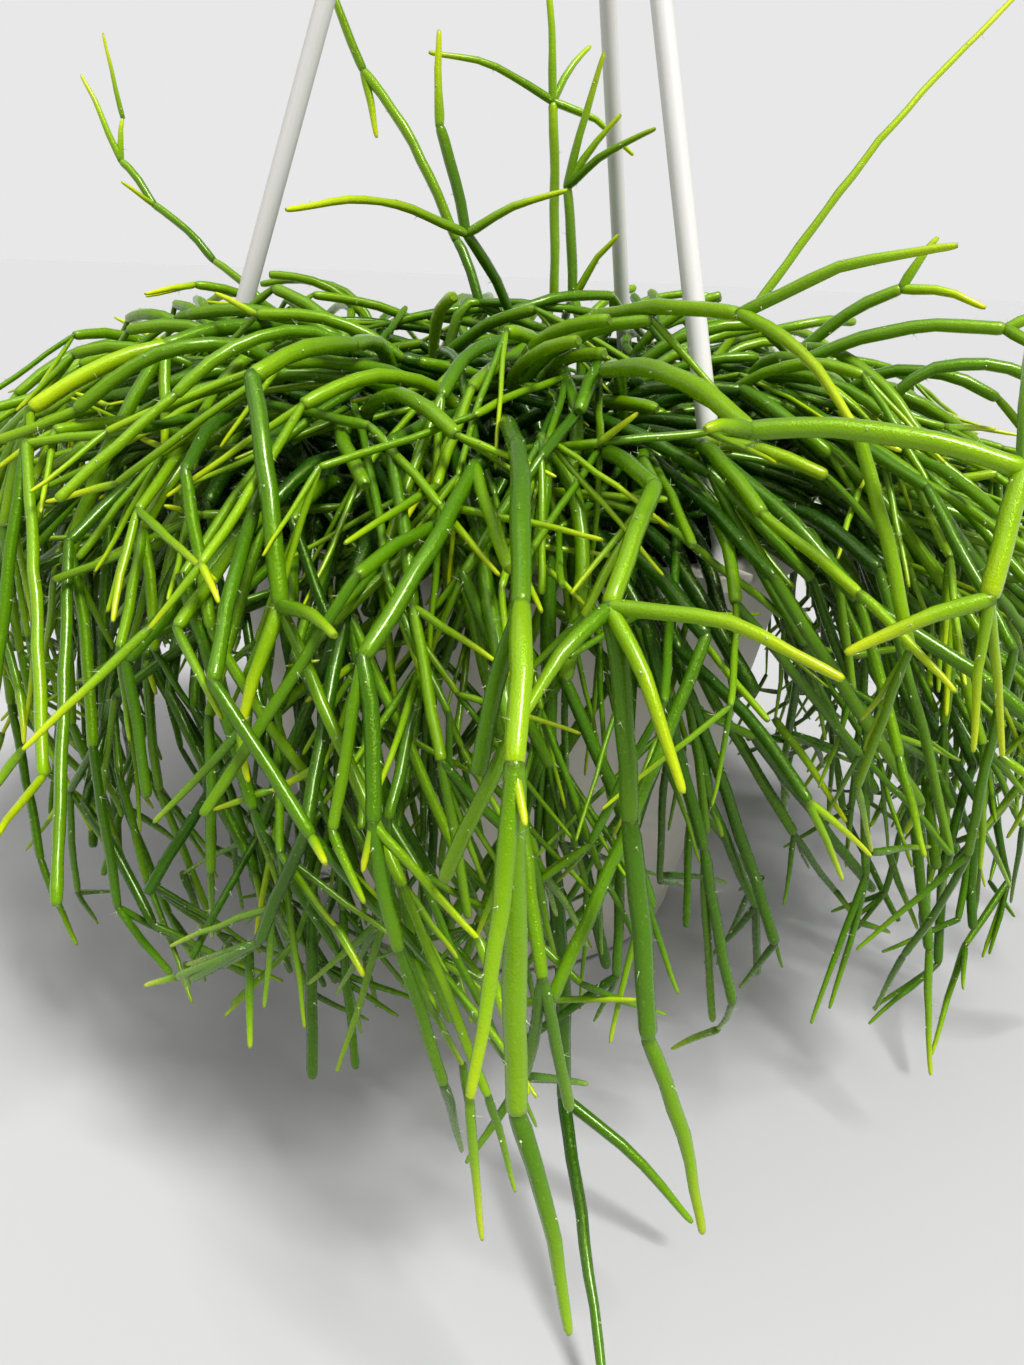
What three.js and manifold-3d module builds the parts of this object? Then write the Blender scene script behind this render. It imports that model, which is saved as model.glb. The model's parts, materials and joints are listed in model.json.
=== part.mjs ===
// A potted mistletoe cactus: pencil-thin, leafless green stems that rise from the soil of a hanging pot,
// arch over its rim and trail down all round it, a few of them as far as the surface it stands on.
// Millimetres, +Z up. The origin is the centre of the pot's flat base.
import * as THREE from "three";
import { mergeVertices } from "three/addons/utils/BufferGeometryUtils.js";
import Module from "manifold-3d";

const wasm = await Module();
wasm.setup();

// Driving dimensions.
const gap = 0.35; // air between pieces that fit together
const pot = {
  height: 150,
  baseRadius: 66,
  rimRadius: 99,
  wall: 2.4,
  floor: 3,
  lipHeight: 10,
  lipOut: 3,
  drainRadius: 4,
  drainRing: 38,
  drains: 5,
  sides: 40,
};
const soil = { top: 138, crown: 4, holeDepth: 13 };
const lug = { eyeOut: 106, end: 111.5, width: 13, thick: 4, eye: 2.3 };
const hanger = {
  firstArm: -57,
  arms: 3,
  radius: 2.9,
  pinRadius: 1.95,
  headRadius: 3.2,
  collarRadius: 4.2,
  collarHeight: 3.2,
  topOut: 7,
  topHeight: 465,
  hubRadius: 13,
  hubHeight: 12,
  seatDepth: 6,
  hookWire: 3,
  hookBend: 15,
  hookCentre: 508,
};
const stem = {
  radii: [2.3, 2.1, 1.85, 1.6, 1.4, 1.3], // one for each generation
  tipRadius: 1.15, // of the youngest lengths
  air: 0.7, // least gap from one spray to another
  rise: 3,
  offRim: 3, // room kept inside the rim, where the pot narrows
  underLip: 4, // room kept under the lip
  hangsBelow: 135, // height below which each length falls by at least leastFall of its own length
  leastFall: 0.3,
  sprays: 52,
};
// How the shoots arch. A shoot leaves the soil at an angle of lean, lies level part of the way out and slopes
// down at its angle of hang from its own edge on. The edge is a share of the way from its root to the reach
// of the skirt there.
const dome = {
  swirl: 56,
  hang: [38, 66],
  flat: 0.85,
  rise: 0.034, // pull on the first length
  edge: [0.14, 0.62],
  lean: [50, 70],
  vigour: [0.8, 1],
  rootOut: [8, 80],
};
// How far out and how low the shoots may come, by azimuth: [azimuth, reach, low].
const skirt = [
  [-180, 172, 62], [-150, 168, 44], [-130, 166, 34], [-110, 184, 32], [-90, 202, 30], [-70, 202, 26],
  [-45, 202, 22], [-20, 212, 24], [0, 214, 34], [40, 204, 50], [90, 192, 52], [140, 186, 52], [180, 172, 62],
];
const ceiling = { top: 207, from: 60, fall: 0.27, ease: 50 };

// Vectors.
const add = (a, b) => [a[0] + b[0], a[1] + b[1], a[2] + b[2]];
const sub = (a, b) => [a[0] - b[0], a[1] - b[1], a[2] - b[2]];
const scale = (a, s) => [a[0] * s, a[1] * s, a[2] * s];
const dot = (a, b) => a[0] * b[0] + a[1] * b[1] + a[2] * b[2];
const size = (a) => Math.sqrt(dot(a, a));
const cross = (a, b) => [
  a[1] * b[2] - a[2] * b[1],
  a[2] * b[0] - a[0] * b[2],
  a[0] * b[1] - a[1] * b[0],
];
const unit = (a) => scale(a, 1 / size(a));
const mix = (a, b, t) => add(scale(a, 1 - t), scale(b, t));
const radians = (degrees) => (degrees * Math.PI) / 180;
const clamp = (v, low, high) => Math.min(high, Math.max(low, v));
const around = (out, azimuth, z) => [
  out * Math.cos(radians(azimuth)),
  out * Math.sin(radians(azimuth)),
  z,
];

// A repeatable stream of numbers from 0 to 1.
function numbers(seed) {
  let state = seed >>> 0;
  return () => {
    state = (state + 0x6d2b79f5) >>> 0;
    let t = state;
    t = Math.imul(t ^ (t >>> 15), t | 1);
    t ^= t + Math.imul(t ^ (t >>> 7), t | 61);
    return ((t ^ (t >>> 14)) >>> 0) / 4294967296;
  };
}
const between = (range, t) => range[0] + (range[1] - range[0]) * t;

// Where a stem may lie. A rod is one length of stem, between two joints.
const rods = [];
const fixed = []; // the hanger and the pot's lugs

const potRadius = (z) =>
  z > pot.height - pot.lipHeight - stem.underLip
    ? pot.rimRadius + pot.lipOut
    : pot.baseRadius + ((pot.rimRadius - pot.baseRadius) * z) / pot.height;

// Moves a point of a stem's middle line out of the floor, the soil, the pot's wall and its rim.
function keepClear(p, radius) {
  const reach = radius + stem.air;
  const out = Math.hypot(p[0], p[1]);
  let [x, y, z] = p;
  if (out < pot.rimRadius - pot.wall - stem.offRim - reach)
    return [x, y, Math.max(z, soil.top + soil.crown + reach)];
  if (z < pot.height + reach && out < potRadius(z) + reach) {
    if (z > pot.height - 12) z = pot.height + reach;
    else {
      const push = (potRadius(z) + reach) / out;
      x *= push;
      y *= push;
    }
  }
  return [x, y, Math.max(z, radius + 0.3)];
}

// The least distance between two straight pieces, a to b and c to d.
function pieceDistance(a, b, c, d) {
  const u = sub(b, a);
  const v = sub(d, c);
  const w = sub(a, c);
  const uu = dot(u, u);
  const uv = dot(u, v);
  const vv = dot(v, v);
  const uw = dot(u, w);
  const vw = dot(v, w);
  const den = uu * vv - uv * uv;
  let s = den > 1e-9 ? clamp((uv * vw - vv * uw) / den, 0, 1) : 0;
  let t = (uv * s + vw) / vv;
  if (t < 0) {
    t = 0;
    s = clamp(-uw / uu, 0, 1);
  } else if (t > 1) {
    t = 1;
    s = clamp((uv - uw) / uu, 0, 1);
  }
  return size(sub(add(w, scale(u, s)), scale(v, t)));
}

function withBounds(rod) {
  const last = rod.points[rod.points.length - 1];
  rod.middle = mix(rod.points[0], last, 0.5);
  rod.reach = Math.max(...rod.points.map((p) => size(sub(p, rod.middle))));
  return rod;
}

function addRod(rod) {
  rods.push(withBounds(rod));
  return rod;
}

// Whether a new length clears all others. Those that share its joint may touch it near that joint.
function isClear(rod, kin) {
  withBounds(rod);
  for (const other of [...fixed, ...rods]) {
    const touch = rod.radius + other.radius + stem.air;
    if (size(sub(rod.middle, other.middle)) > rod.reach + other.reach + touch) continue;
    const related = kin.includes(other);
    for (let i = related ? 1 : 0; i < rod.points.length - 1; i++)
      for (let j = 0; j < other.points.length - 1; j++) {
        if (related && (j === 0 || j === other.points.length - 2)) continue;
        const [a, b] = [rod.points[i], rod.points[i + 1]];
        if (pieceDistance(a, b, other.points[j], other.points[j + 1]) < touch) return false;
      }
  }
  return true;
}

// Reach and low of the skirt at an azimuth.
function skirtAt(azimuth) {
  const turn = azimuth - 360 * Math.floor((azimuth + 180) / 360);
  const i = Math.max(1, skirt.findIndex(([end]) => turn <= end));
  const [start, ...a] = skirt[i - 1];
  const [end, ...b] = skirt[i];
  const t = (turn - start) / (end - start);
  return a.map((v, k) => v + (b[k] - v) * t);
}
const ceilingAt = (out) => ceiling.top - ceiling.fall * Math.max(0, out - ceiling.from);

// Whether a length keeps to the shape of the whole plant.
function inShape(points) {
  return points.slice(1).every(([x, y, z]) => {
    const out = Math.hypot(x, y);
    const [reach, low] = skirtAt((Math.atan2(y, x) * 180) / Math.PI);
    return out <= reach && z >= low && z <= ceilingAt(out);
  });
}

// Whether a length that starts below the pot's rim goes on down.
function hangs(points) {
  const [start, end] = [points[0], points[points.length - 1]];
  return start[2] > stem.hangsBelow || start[2] - end[2] > stem.leastFall * size(sub(end, start));
}

// Whether the straight pieces between a length's points clear the pot and the soil as well.
function clearsPot(points, radius) {
  return points.slice(1).every((b, i) => {
    const count = Math.ceil(size(sub(b, points[i])) / 2);
    for (let k = 1; k < count; k++) {
      const p = mix(points[i], b, k / count);
      if (size(sub(keepClear(p, radius), p)) > stem.air - 0.1) return false;
    }
    return true;
  });
}

// A length of stem from start. It sets off along d and is steered, step by step, to the arch of its shoot.
function archingLine(start, d, length, steps, radius, shoot, pull) {
  const points = [start];
  const step = length / steps;
  for (let i = 0; i < steps; i++) {
    const p = points[i];
    const out = Math.hypot(p[0], p[1]) + 1e-6;
    const way = clamp((out - shoot.out) / (shoot.edge - shoot.out), 0, 1);
    const free = radians(shoot.lean - (shoot.lean + shoot.hang) * way ** dome.flat);
    const slope = Math.min(free, (ceilingAt(out) - 4 - p[2]) / ceiling.ease);
    const level = Math.cos(slope) / out;
    const [c, s] = shoot.swirl;
    const arch = [(p[0] * c - p[1] * s) * level, (p[0] * s + p[1] * c) * level, Math.sin(slope)];
    const heading = unit(mix(d, arch, Math.min(1, pull * step)));
    const next = keepClear(add(p, scale(heading, step)), radius);
    d = unit(sub(next, p));
    points.push(next);
  }
  return points;
}

const endHeading = (points) => unit(sub(points[points.length - 1], points[points.length - 2]));

// A direction at an angle of turn from d, the rest of the way round chosen by spin.
function turned(d, turn, spin) {
  const side = unit(cross(d, Math.abs(d[2]) < 0.9 ? [0, 0, 1] : [1, 0, 0]));
  const other = cross(d, side);
  const across = add(scale(side, Math.cos(spin)), scale(other, Math.sin(spin)));
  return unit(add(scale(d, Math.cos(turn)), scale(across, Math.sin(turn))));
}

// How a shoot goes on from joint to joint, one entry for each generation after the first length.
const growth = [
  { lengths: [46, 70], turn: [6, 26], steps: 2, pull: 0.019, sideChance: 0.34 },
  { lengths: [42, 64], turn: [6, 28], steps: 2, pull: 0.016, sideChance: 0.44 },
  { lengths: [38, 58], turn: [6, 30], steps: 1, pull: 0.008, sideChance: 0.46 },
  { lengths: [34, 54], turn: [6, 32], steps: 1, pull: 0.0055, sideChance: 0.42 },
  { lengths: [24, 46], turn: [6, 36], steps: 1, pull: 0.004, sideChance: 0.28 },
];
const sideTurn = [28, 58];
const sideTries = 2; // side lengths that a joint may try for
const attempts = 24;
const rootAttempts = 72;

// Grows one length at the end of parent, or nothing where every try would cross another stem.
function growOne(parent, generation, turns, random) {
  const rule = growth[generation - 1];
  const start = parent.points[parent.points.length - 1];
  const along = endHeading(parent.points);
  const young = generation === growth.length;
  const radius = young ? stem.tipRadius : stem.radii[generation];
  const kin = [parent, ...rods.filter((r) => r.parent === parent)];
  for (let i = 0; i < attempts; i++) {
    const vigour = parent.shoot.vigour * (1 - (0.4 * i) / attempts);
    const length = between(rule.lengths, random()) * vigour;
    const turn = radians(between(turns, random()));
    const d = turned(along, turn, 2 * Math.PI * random());
    const points = archingLine(start, d, length, rule.steps, radius, parent.shoot, rule.pull);
    const rod = { points, radius, generation, parent, shoot: parent.shoot, young };
    const fits = inShape(points) && hangs(points) && clearsPot(points, radius);
    if (fits && isClear(rod, kin)) return addRod(rod);
  }
  return null;
}

// Carries a shoot on from the end of one of its lengths.
function growFrom(parent, random) {
  const generation = parent.generation + 1;
  if (generation > growth.length) return;
  const rule = growth[generation - 1];
  const next =
    growOne(parent, generation, rule.turn, random) ?? growOne(parent, generation, sideTurn, random);
  if (next) growFrom(next, random);
  for (let i = 0; i < sideTries; i++)
    if (random() < rule.sideChance) {
      const side = growOne(parent, Math.min(generation + 2, growth.length), sideTurn, random);
      if (side && random() < 0.5) growFrom(side, random);
    }
}

// One spray from its own place in the soil.
function plantSpray(spray, place, count) {
  const random = numbers(100 + spray);
  const share = Math.sqrt((place + 0.5) / count);
  for (let i = 0; i < rootAttempts; i++) {
    const out = between(dome.rootOut, share) + 4 * (random() - 0.5);
    const azimuth = 137.508 * place + 14 * (random() - 0.5);
    const edge = between([out, skirtAt(azimuth)[0]], between(dome.edge, random()));
    const lean = dome.lean[1] - (dome.lean[1] - dome.lean[0]) * (0.7 * (1 - share) + 0.3 * random());
    const swirl = radians(dome.swirl * (2 * random() - 1));
    const vigour = between(dome.vigour, random());
    const hang = between(dome.hang, random());
    const shoot = { spray, out, edge, lean, hang, vigour, swirl: [Math.cos(swirl), Math.sin(swirl)] };
    const foot = around(out, azimuth, soil.top - soil.holeDepth + gap);
    const start = around(out, azimuth, soil.top + soil.crown + stem.rise);
    const length = 92 - 22 * share + 16 * (random() - 0.5);
    const d = around(Math.cos(radians(lean)), azimuth, Math.sin(radians(lean)));
    const points = [foot, ...archingLine(start, d, length, 4, stem.radii[0], shoot, dome.rise)];
    const rod = { points, radius: stem.radii[0], generation: 0, parent: null, shoot, young: false };
    const line = points.slice(1);
    if (inShape(line) && clearsPot(line, rod.radius) && isClear(rod, [])) {
      growFrom(addRod(rod), random);
      return;
    }
  }
}

// The shoots that stand out by themselves, set by hand.
// root: distance from the pot's axis, and azimuth. joints: where its lengths end. forks: the number of a
// joint, counted from 0, and where a side length from it ends. grows: whether its end grows on by itself.
const leaders = [
  {
    name: "upright_tall",
    root: [52, 82],
    radius: 2,
    joints: [[13, 70, 208], [9, 75, 278], [4, 80, 325]],
    forks: [[1, [-35, 60, 290]], [1, [22, 88, 298]], [1, [40, 80, 262]]],
  },
  {
    name: "upright_short",
    root: [42, 55],
    radius: 2,
    joints: [[19, 50, 211], [15, 50, 249], [25, 44, 290]],
    forks: [[1, [43, 34, 267]], [1, [32, 46, 272]], [0, [34, 44, 234]]],
  },
  {
    name: "upright_left",
    root: [20, 110],
    radius: 2,
    joints: [[-3, 20, 208], [-18, 10, 232], [-27, 10, 263], [-28, 15, 290]],
    forks: [[1, [-66, -40, 236]], [1, [14, 8, 246]]],
  },
  {
    name: "back_left_long",
    root: [38, 140],
    radius: 2,
    joints: [[-14, 32, 210], [-23, 40, 230], [-57, 55, 283], [-80, 66, 328]],
    forks: [[2, [-52, 50, 262]]],
  },
  {
    name: "left_thin",
    root: [62, 135],
    radius: 1.7,
    joints: [[-94, 68, 200], [-118, 75, 219], [-141, 80, 238], [-154, 85, 253], [-168, 90, 282]],
    forks: [[3, [-153, 88, 268]]],
  },
  {
    name: "right_straight",
    root: [44, 5],
    radius: 1.9,
    joints: [[62, 0, 192], [158, 32, 314]],
    forks: [],
  },
  {
    name: "right_arch",
    root: [36, -62],
    radius: 2,
    joints: [[8, -60, 206], [51, -112, 217], [91, -130, 233]],
    forks: [[1, [70, -150, 198]]],
  },
  {
    name: "right_far",
    root: [66, -22],
    radius: 2,
    joints: [[80, -58, 203], [128, -72, 214], [148, -74, 222]],
    forks: [[1, [138, -92, 203]]],
  },
  {
    name: "right_fork",
    root: [60, 8],
    radius: 2,
    joints: [[82, -30, 200], [110, -38, 222], [118, -38, 236]],
    forks: [[1, [132, -46, 218]]],
  },
  {
    name: "front_right",
    root: [62, -58],
    radius: 2.3,
    joints: [[22, -108, 203], [47, -158, 198], [98, -166, 194], [91, -178, 172], [66, -178, 160]],
    forks: [[1, [37, -166, 199]], [2, [107, -136, 216]]],
  },
  {
    name: "front_middle",
    root: [56, -96],
    radius: 2.3,
    joints: [[2, -140, 190], [4, -188, 170], [4, -212, 150], [7, -226, 90], [18, -236, 50]],
    forks: [[2, [-1, -236, 102]]],
  },
  {
    name: "front_fork",
    root: [74, -80],
    radius: 2.2,
    joints: [[31, -146, 184], [21, -174, 166], [27, -186, 126], [33, -198, 84], [47, -206, 42]],
    forks: [[1, [35, -196, 138]], [1, [62, -192, 160]], [1, [4, -196, 150]]],
  },
  {
    name: "left_arch",
    root: [58, -165],
    radius: 2.3,
    joints: [[-63, -42, 205], [-93, -72, 201], [-122, -92, 186]],
    forks: [[1, [-90, -88, 176]]],
    grows: true,
  },
  {
    name: "front_left",
    root: [54, -122],
    radius: 2.3,
    joints: [[-40, -92, 205], [-58, -122, 200], [-47, -152, 156], [-54, -164, 132]],
    forks: [[2, [-32, -172, 157]]],
  },
  {
    name: "trailing",
    root: [75, -98],
    radius: 2.1,
    joints: [[10, -128, 166], [14, -146, 96], [20, -160, 34], [30, -222, 2]],
    forks: [[2, [52, -176, 12]]],
  },
];

// A length from one joint to the next that bows up by a share of its own length.
function bowedLine(a, b, steps) {
  const middle = add(mix(a, b, 0.5), [0, 0, 0.14 * size(sub(b, a))]);
  const line = [];
  for (let i = 0; i <= steps; i++) {
    const t = i / steps;
    line.push(mix(mix(a, middle, t), mix(middle, b, t), t));
  }
  return line;
}

function plantLeader(leader, spray) {
  const { root, radius, joints, forks } = leader;
  const foot = around(...root, soil.top - soil.holeDepth + gap);
  const base = around(...root, soil.top + soil.crown + stem.rise);
  const first = joints[0];
  const above = [...mix(base, first, 0.15).slice(0, 2), first[2] + 6];
  const riser = [foot];
  for (let i = 0; i <= 4; i++) {
    const t = i / 4;
    riser.push(mix(mix(base, above, t), mix(above, first, t), t));
  }
  const shoot = { spray, out: root[0], edge: 200, lean: 60, hang: 66, vigour: 1, swirl: [1, 0] };
  const chain = [addRod({ points: riser, radius, generation: 0, parent: null, shoot, young: false })];
  const lengthTo = (joint, to, young) => {
    const parent = chain[joint];
    const points = bowedLine(joints[joint], to, young ? 2 : 3);
    const own = young ? 0.8 * radius : radius;
    return addRod({ points, radius: own, generation: joint + 1, parent, shoot, young });
  };
  for (let i = 1; i < joints.length; i++)
    chain.push(lengthTo(i - 1, joints[i], i === joints.length - 1 && !leader.grows));
  for (const [joint, to] of forks) lengthTo(joint, to, true);
  if (leader.grows) growFrom(chain[chain.length - 1], numbers(7 + spray));
}

// The hanger's arms run straight from above the pot's lugs to the hub.
const armAzimuth = (k) => hanger.firstArm + (360 * k) / hanger.arms;
function armPoints(k) {
  const top = hanger.topHeight + hanger.seatDepth - gap;
  return [
    around(lug.eyeOut, armAzimuth(k), pot.height + 1.5),
    around(lug.eyeOut - 0.6, armAzimuth(k), pot.height + 8),
    around(lug.eyeOut - 5.5, armAzimuth(k), pot.height + 20),
    around(hanger.topOut + 1.6, armAzimuth(k), hanger.topHeight - 15),
    around(hanger.topOut, armAzimuth(k), hanger.topHeight - 5),
    around(hanger.topOut, armAzimuth(k), top),
  ];
}
for (let k = 0; k < hanger.arms; k++) {
  fixed.push(withBounds({ points: armPoints(k), radius: hanger.radius }));
  const eye = [around(lug.eyeOut, armAzimuth(k), 141), around(lug.eyeOut, armAzimuth(k), 153)];
  fixed.push(withBounds({ points: eye, radius: 9 }));
}

leaders.forEach(plantLeader);
const others = stem.sprays - leaders.length;
for (let i = 0; i < others; i++) plantSpray(leaders.length + i, i, others);

// Solids.
function toSolid(geometry) {
  const bare = new THREE.BufferGeometry();
  bare.setAttribute("position", geometry.getAttribute("position"));
  if (geometry.index) bare.setIndex(geometry.index);
  const merged = mergeVertices(bare, 1e-4);
  const mesh = new wasm.Mesh({
    numProp: 3,
    vertProperties: new Float32Array(merged.getAttribute("position").array),
    triVerts: new Uint32Array(merged.index.array),
  });
  return new wasm.Manifold(mesh);
}

function toGeometry(solid) {
  const mesh = solid.getMesh();
  const geometry = new THREE.BufferGeometry();
  geometry.setAttribute("position", new THREE.BufferAttribute(mesh.vertProperties, 3));
  geometry.setIndex(new THREE.BufferAttribute(mesh.triVerts, 1));
  return geometry;
}

// A closed tube along points with its own radius at each, and a cone of tip length on its far end.
function tube(points, radii, sides, tip = 0) {
  const last = points.length - 1;
  const vertices = [];
  const faces = [];
  let side = null;
  for (let i = 0; i <= last; i++) {
    const before = unit(sub(points[Math.max(i, 1)], points[Math.max(i, 1) - 1]));
    const after = unit(sub(points[Math.min(i, last - 1) + 1], points[Math.min(i, last - 1)]));
    const along = unit(add(before, after));
    side ??= cross(along, Math.abs(along[2]) < 0.9 ? [0, 0, 1] : [1, 0, 0]);
    side = unit(sub(side, scale(along, dot(side, along))));
    const other = cross(along, side);
    for (let k = 0; k < sides; k++) {
      const angle = (2 * Math.PI * k) / sides;
      const spoke = add(scale(side, Math.cos(angle)), scale(other, Math.sin(angle)));
      vertices.push(...add(points[i], scale(spoke, radii[i])));
    }
  }
  for (let i = 0; i < last; i++)
    for (let k = 0; k < sides; k++) {
      const a = i * sides + k;
      const b = i * sides + ((k + 1) % sides);
      faces.push(a, b, b + sides, a, b + sides, a + sides);
    }
  for (let k = 1; k < sides - 1; k++) faces.push(0, k + 1, k);
  const end = last * sides;
  if (tip > 0) {
    vertices.push(...add(points[last], scale(endHeading(points), tip)));
    for (let k = 0; k < sides; k++) faces.push(end + k, end + ((k + 1) % sides), end + sides);
  } else for (let k = 1; k < sides - 1; k++) faces.push(end, end + k, end + k + 1);
  const geometry = new THREE.BufferGeometry();
  geometry.setAttribute("position", new THREE.Float32BufferAttribute(vertices, 3));
  geometry.setIndex(faces);
  return toSolid(geometry);
}

function turnedShape(profile, sides) {
  const outline = profile.map(([r, z]) => new THREE.Vector2(r, z));
  return toSolid(new THREE.LatheGeometry(outline, sides).rotateX(Math.PI / 2));
}
const disc = (radius, low, high, sides) =>
  turnedShape([[0, low], [radius, low], [radius, high], [0, high]], sides);

// The pot: a plain round shell with a lip, three lugs with eyes on it, and drain holes.
function potSolid() {
  const innerAt = (z) => potSlope(z) - pot.wall;
  const potSlope = (z) => pot.baseRadius + ((pot.rimRadius - pot.baseRadius) * z) / pot.height;
  const lipLow = pot.height - pot.lipHeight;
  const lipRadius = pot.rimRadius + pot.lipOut;
  let solid = turnedShape(
    [
      [0, 0],
      [pot.baseRadius - 2, 0],
      [potSlope(3), 3],
      [potSlope(lipLow), lipLow],
      [lipRadius - 0.8, lipLow + 0.6],
      [lipRadius, pot.height - 1.5],
      [lipRadius - 1.5, pot.height],
      [innerAt(pot.height), pot.height],
      [innerAt(pot.floor), pot.floor],
      [0, pot.floor],
    ],
    pot.sides,
  );
  for (let k = 0; k < hanger.arms; k++) {
    const reach = lug.end - pot.rimRadius;
    const block = new THREE.BoxGeometry(reach, lug.width, lug.thick);
    block.translate(pot.rimRadius + reach / 2, 0, pot.height - lug.thick / 2);
    const [x, y] = around(lug.eyeOut, armAzimuth(k), 0);
    const eye = disc(lug.eye, pot.height - lug.thick - 4, pot.height + 4, 12).translate([x, y, 0]);
    solid = solid.add(toSolid(block).rotate([0, 0, armAzimuth(k)])).subtract(eye);
  }
  for (let k = 0; k < pot.drains; k++) {
    const [x, y] = around(pot.drainRing, (360 * k) / pot.drains, 0);
    solid = solid.subtract(disc(pot.drainRadius, -2, pot.floor + 2, 10).translate([x, y, 0]));
  }
  return solid;
}

// The soil: one plug that fills the pot, with a plain hole for each shoot.
function soilSolid() {
  const radiusAt = (z) =>
    pot.baseRadius - pot.wall - gap + ((pot.rimRadius - pot.baseRadius) * z) / pot.height;
  const low = pot.floor + gap;
  let solid = turnedShape(
    [
      [0, low],
      [radiusAt(low), low],
      [radiusAt(soil.top), soil.top],
      [0.7 * radiusAt(soil.top), soil.top + 0.7 * soil.crown],
      [0, soil.top + soil.crown],
    ],
    30,
  );
  for (const rod of rods.filter((r) => r.generation === 0)) {
    const [x, y] = rod.points[0];
    const radius = (rod.radius + gap) / Math.cos(Math.PI / 6);
    const hole = disc(radius, soil.top - soil.holeDepth, soil.top + soil.crown + 3, 6);
    solid = solid.subtract(hole.translate([x, y, 0]));
  }
  return solid;
}

// One arm of the hanger: a head and pin that hold it in the lug's eye, a collar on the lug, and the rod.
function armSolid(k) {
  const under = pot.height - lug.thick - gap;
  const over = pot.height + gap;
  const foot = turnedShape(
    [
      [0, under - 3],
      [hanger.pinRadius, under - 3],
      [hanger.headRadius, under - 1.2],
      [hanger.headRadius, under],
      [hanger.pinRadius, under],
      [hanger.pinRadius, over],
      [hanger.collarRadius, over],
      [hanger.collarRadius, over + hanger.collarHeight - 0.8],
      [hanger.collarRadius - 0.8, over + hanger.collarHeight],
      [0, over + hanger.collarHeight],
    ],
    14,
  );
  const points = armPoints(k);
  const rod = tube(points, points.map(() => hanger.radius), 12);
  const [x, y] = points[0];
  return foot.translate([x, y, 0]).add(rod);
}

// The hub that gathers the arms, and the hook above it, bent from one round rod.
function hookSolid() {
  const low = hanger.topHeight;
  const high = low + hanger.hubHeight;
  let solid = turnedShape(
    [
      [0, low],
      [hanger.hubRadius, low],
      [hanger.hubRadius, high - 3],
      [hanger.hubRadius - 3, high],
      [0, high],
    ],
    24,
  );
  for (let k = 0; k < hanger.arms; k++) {
    const [x, y] = around(hanger.topOut, armAzimuth(k), 0);
    const seat = disc(hanger.radius + gap, low - 2, low + hanger.seatDepth, 16);
    solid = solid.subtract(seat.translate([x, y, 0]));
  }
  const bend = hanger.hookBend;
  const centre = hanger.hookCentre;
  const points = [[0, 0, high - 3], [0, 0, centre - bend - 9], [2.2, 0, centre - bend - 3.5]];
  for (let angle = -52; angle <= 218; angle += 18) {
    const a = radians(angle);
    points.push([bend * Math.cos(a), 0, centre + bend * Math.sin(a)]);
  }
  return solid.add(tube(points, points.map(() => hanger.hookWire), 12, 1.6));
}

// A spray: a shoot and all that branches from it. The first length from a joint carries the tube on, and the
// others are tubes of their own, sunk into the joint.
function spraySolid(spray) {
  const own = rods.filter((r) => r.shoot.spray === spray);
  const tubes = own.filter((r) => !r.parent || childrenOf(r.parent)[0] !== r).map(tubeFrom);
  return tubes.length > 1 ? wasm.Manifold.union(tubes) : tubes[0];
}
const childrenOf = (rod) => rods.filter((r) => r.parent === rod);

function tubeFrom(first) {
  const points = [];
  const radii = [];
  for (let rod = first; rod; rod = childrenOf(rod)[0]) {
    const last = rod.points.length - 1;
    rod.points.forEach((p, i) => {
      if (i === 0 && rod !== first) return;
      points.push(p);
      const joint = i === last && last > 0;
      const full = rod.young ? 1 - (0.4 * i) / last : 1;
      radii.push(rod.radius * (joint ? 0.84 * full : full));
    });
  }
  if (first.parent) {
    points[0] = sub(points[0], scale(unit(sub(points[1], points[0])), 0.6 * first.radius));
    radii[0] *= 0.8;
  }
  const end = radii[radii.length - 1];
  const sides = first.parent ? 4 : 5;
  return tube(points, radii, first.young ? 3 : sides, 1.1 * end);
}

// Surfaces.
const surfaces = {
  pot: { color: "#e9e4d8", roughness: 0.45, metalness: 0 },
  hanger: { color: "#f1eeea", roughness: 0.4, metalness: 0 },
  soil: { color: "#3a2a1d", roughness: 0.95, metalness: 0 },
  stem: { color: "#3d7a1e", roughness: 0.35, metalness: 0 },
};

const part = new THREE.Group();
part.name = "potted_cashero_mistletoe_cactus";
function place(name, solid, look) {
  const mesh = new THREE.Mesh(toGeometry(solid), new THREE.MeshStandardMaterial(look));
  mesh.name = name;
  part.add(mesh);
}
place("pot", potSolid(), surfaces.pot);
place("soil", soilSolid(), surfaces.soil);
for (let k = 0; k < hanger.arms; k++) place(`hanger_arm_${k + 1}`, armSolid(k), surfaces.hanger);
place("hanger_hook", hookSolid(), surfaces.hanger);
const numbered = (i) => String(i + 1).padStart(2, "0");
leaders.forEach((leader, i) => place(`shoot_${leader.name}`, spraySolid(i), surfaces.stem));
for (let i = 0; i < others; i++)
  place(`spray_${numbered(i)}`, spraySolid(leaders.length + i), surfaces.stem);

export default part;
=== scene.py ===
# Potted mistletoe cactus: its looks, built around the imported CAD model. Metres, +Z up.
# The stems follow the same growth rules and numbers as the CAD source, so each spray lies where its node is.
import json
import math

import bmesh
import bpy
import numpy as np
from mathutils import Matrix, Vector, noise

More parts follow.
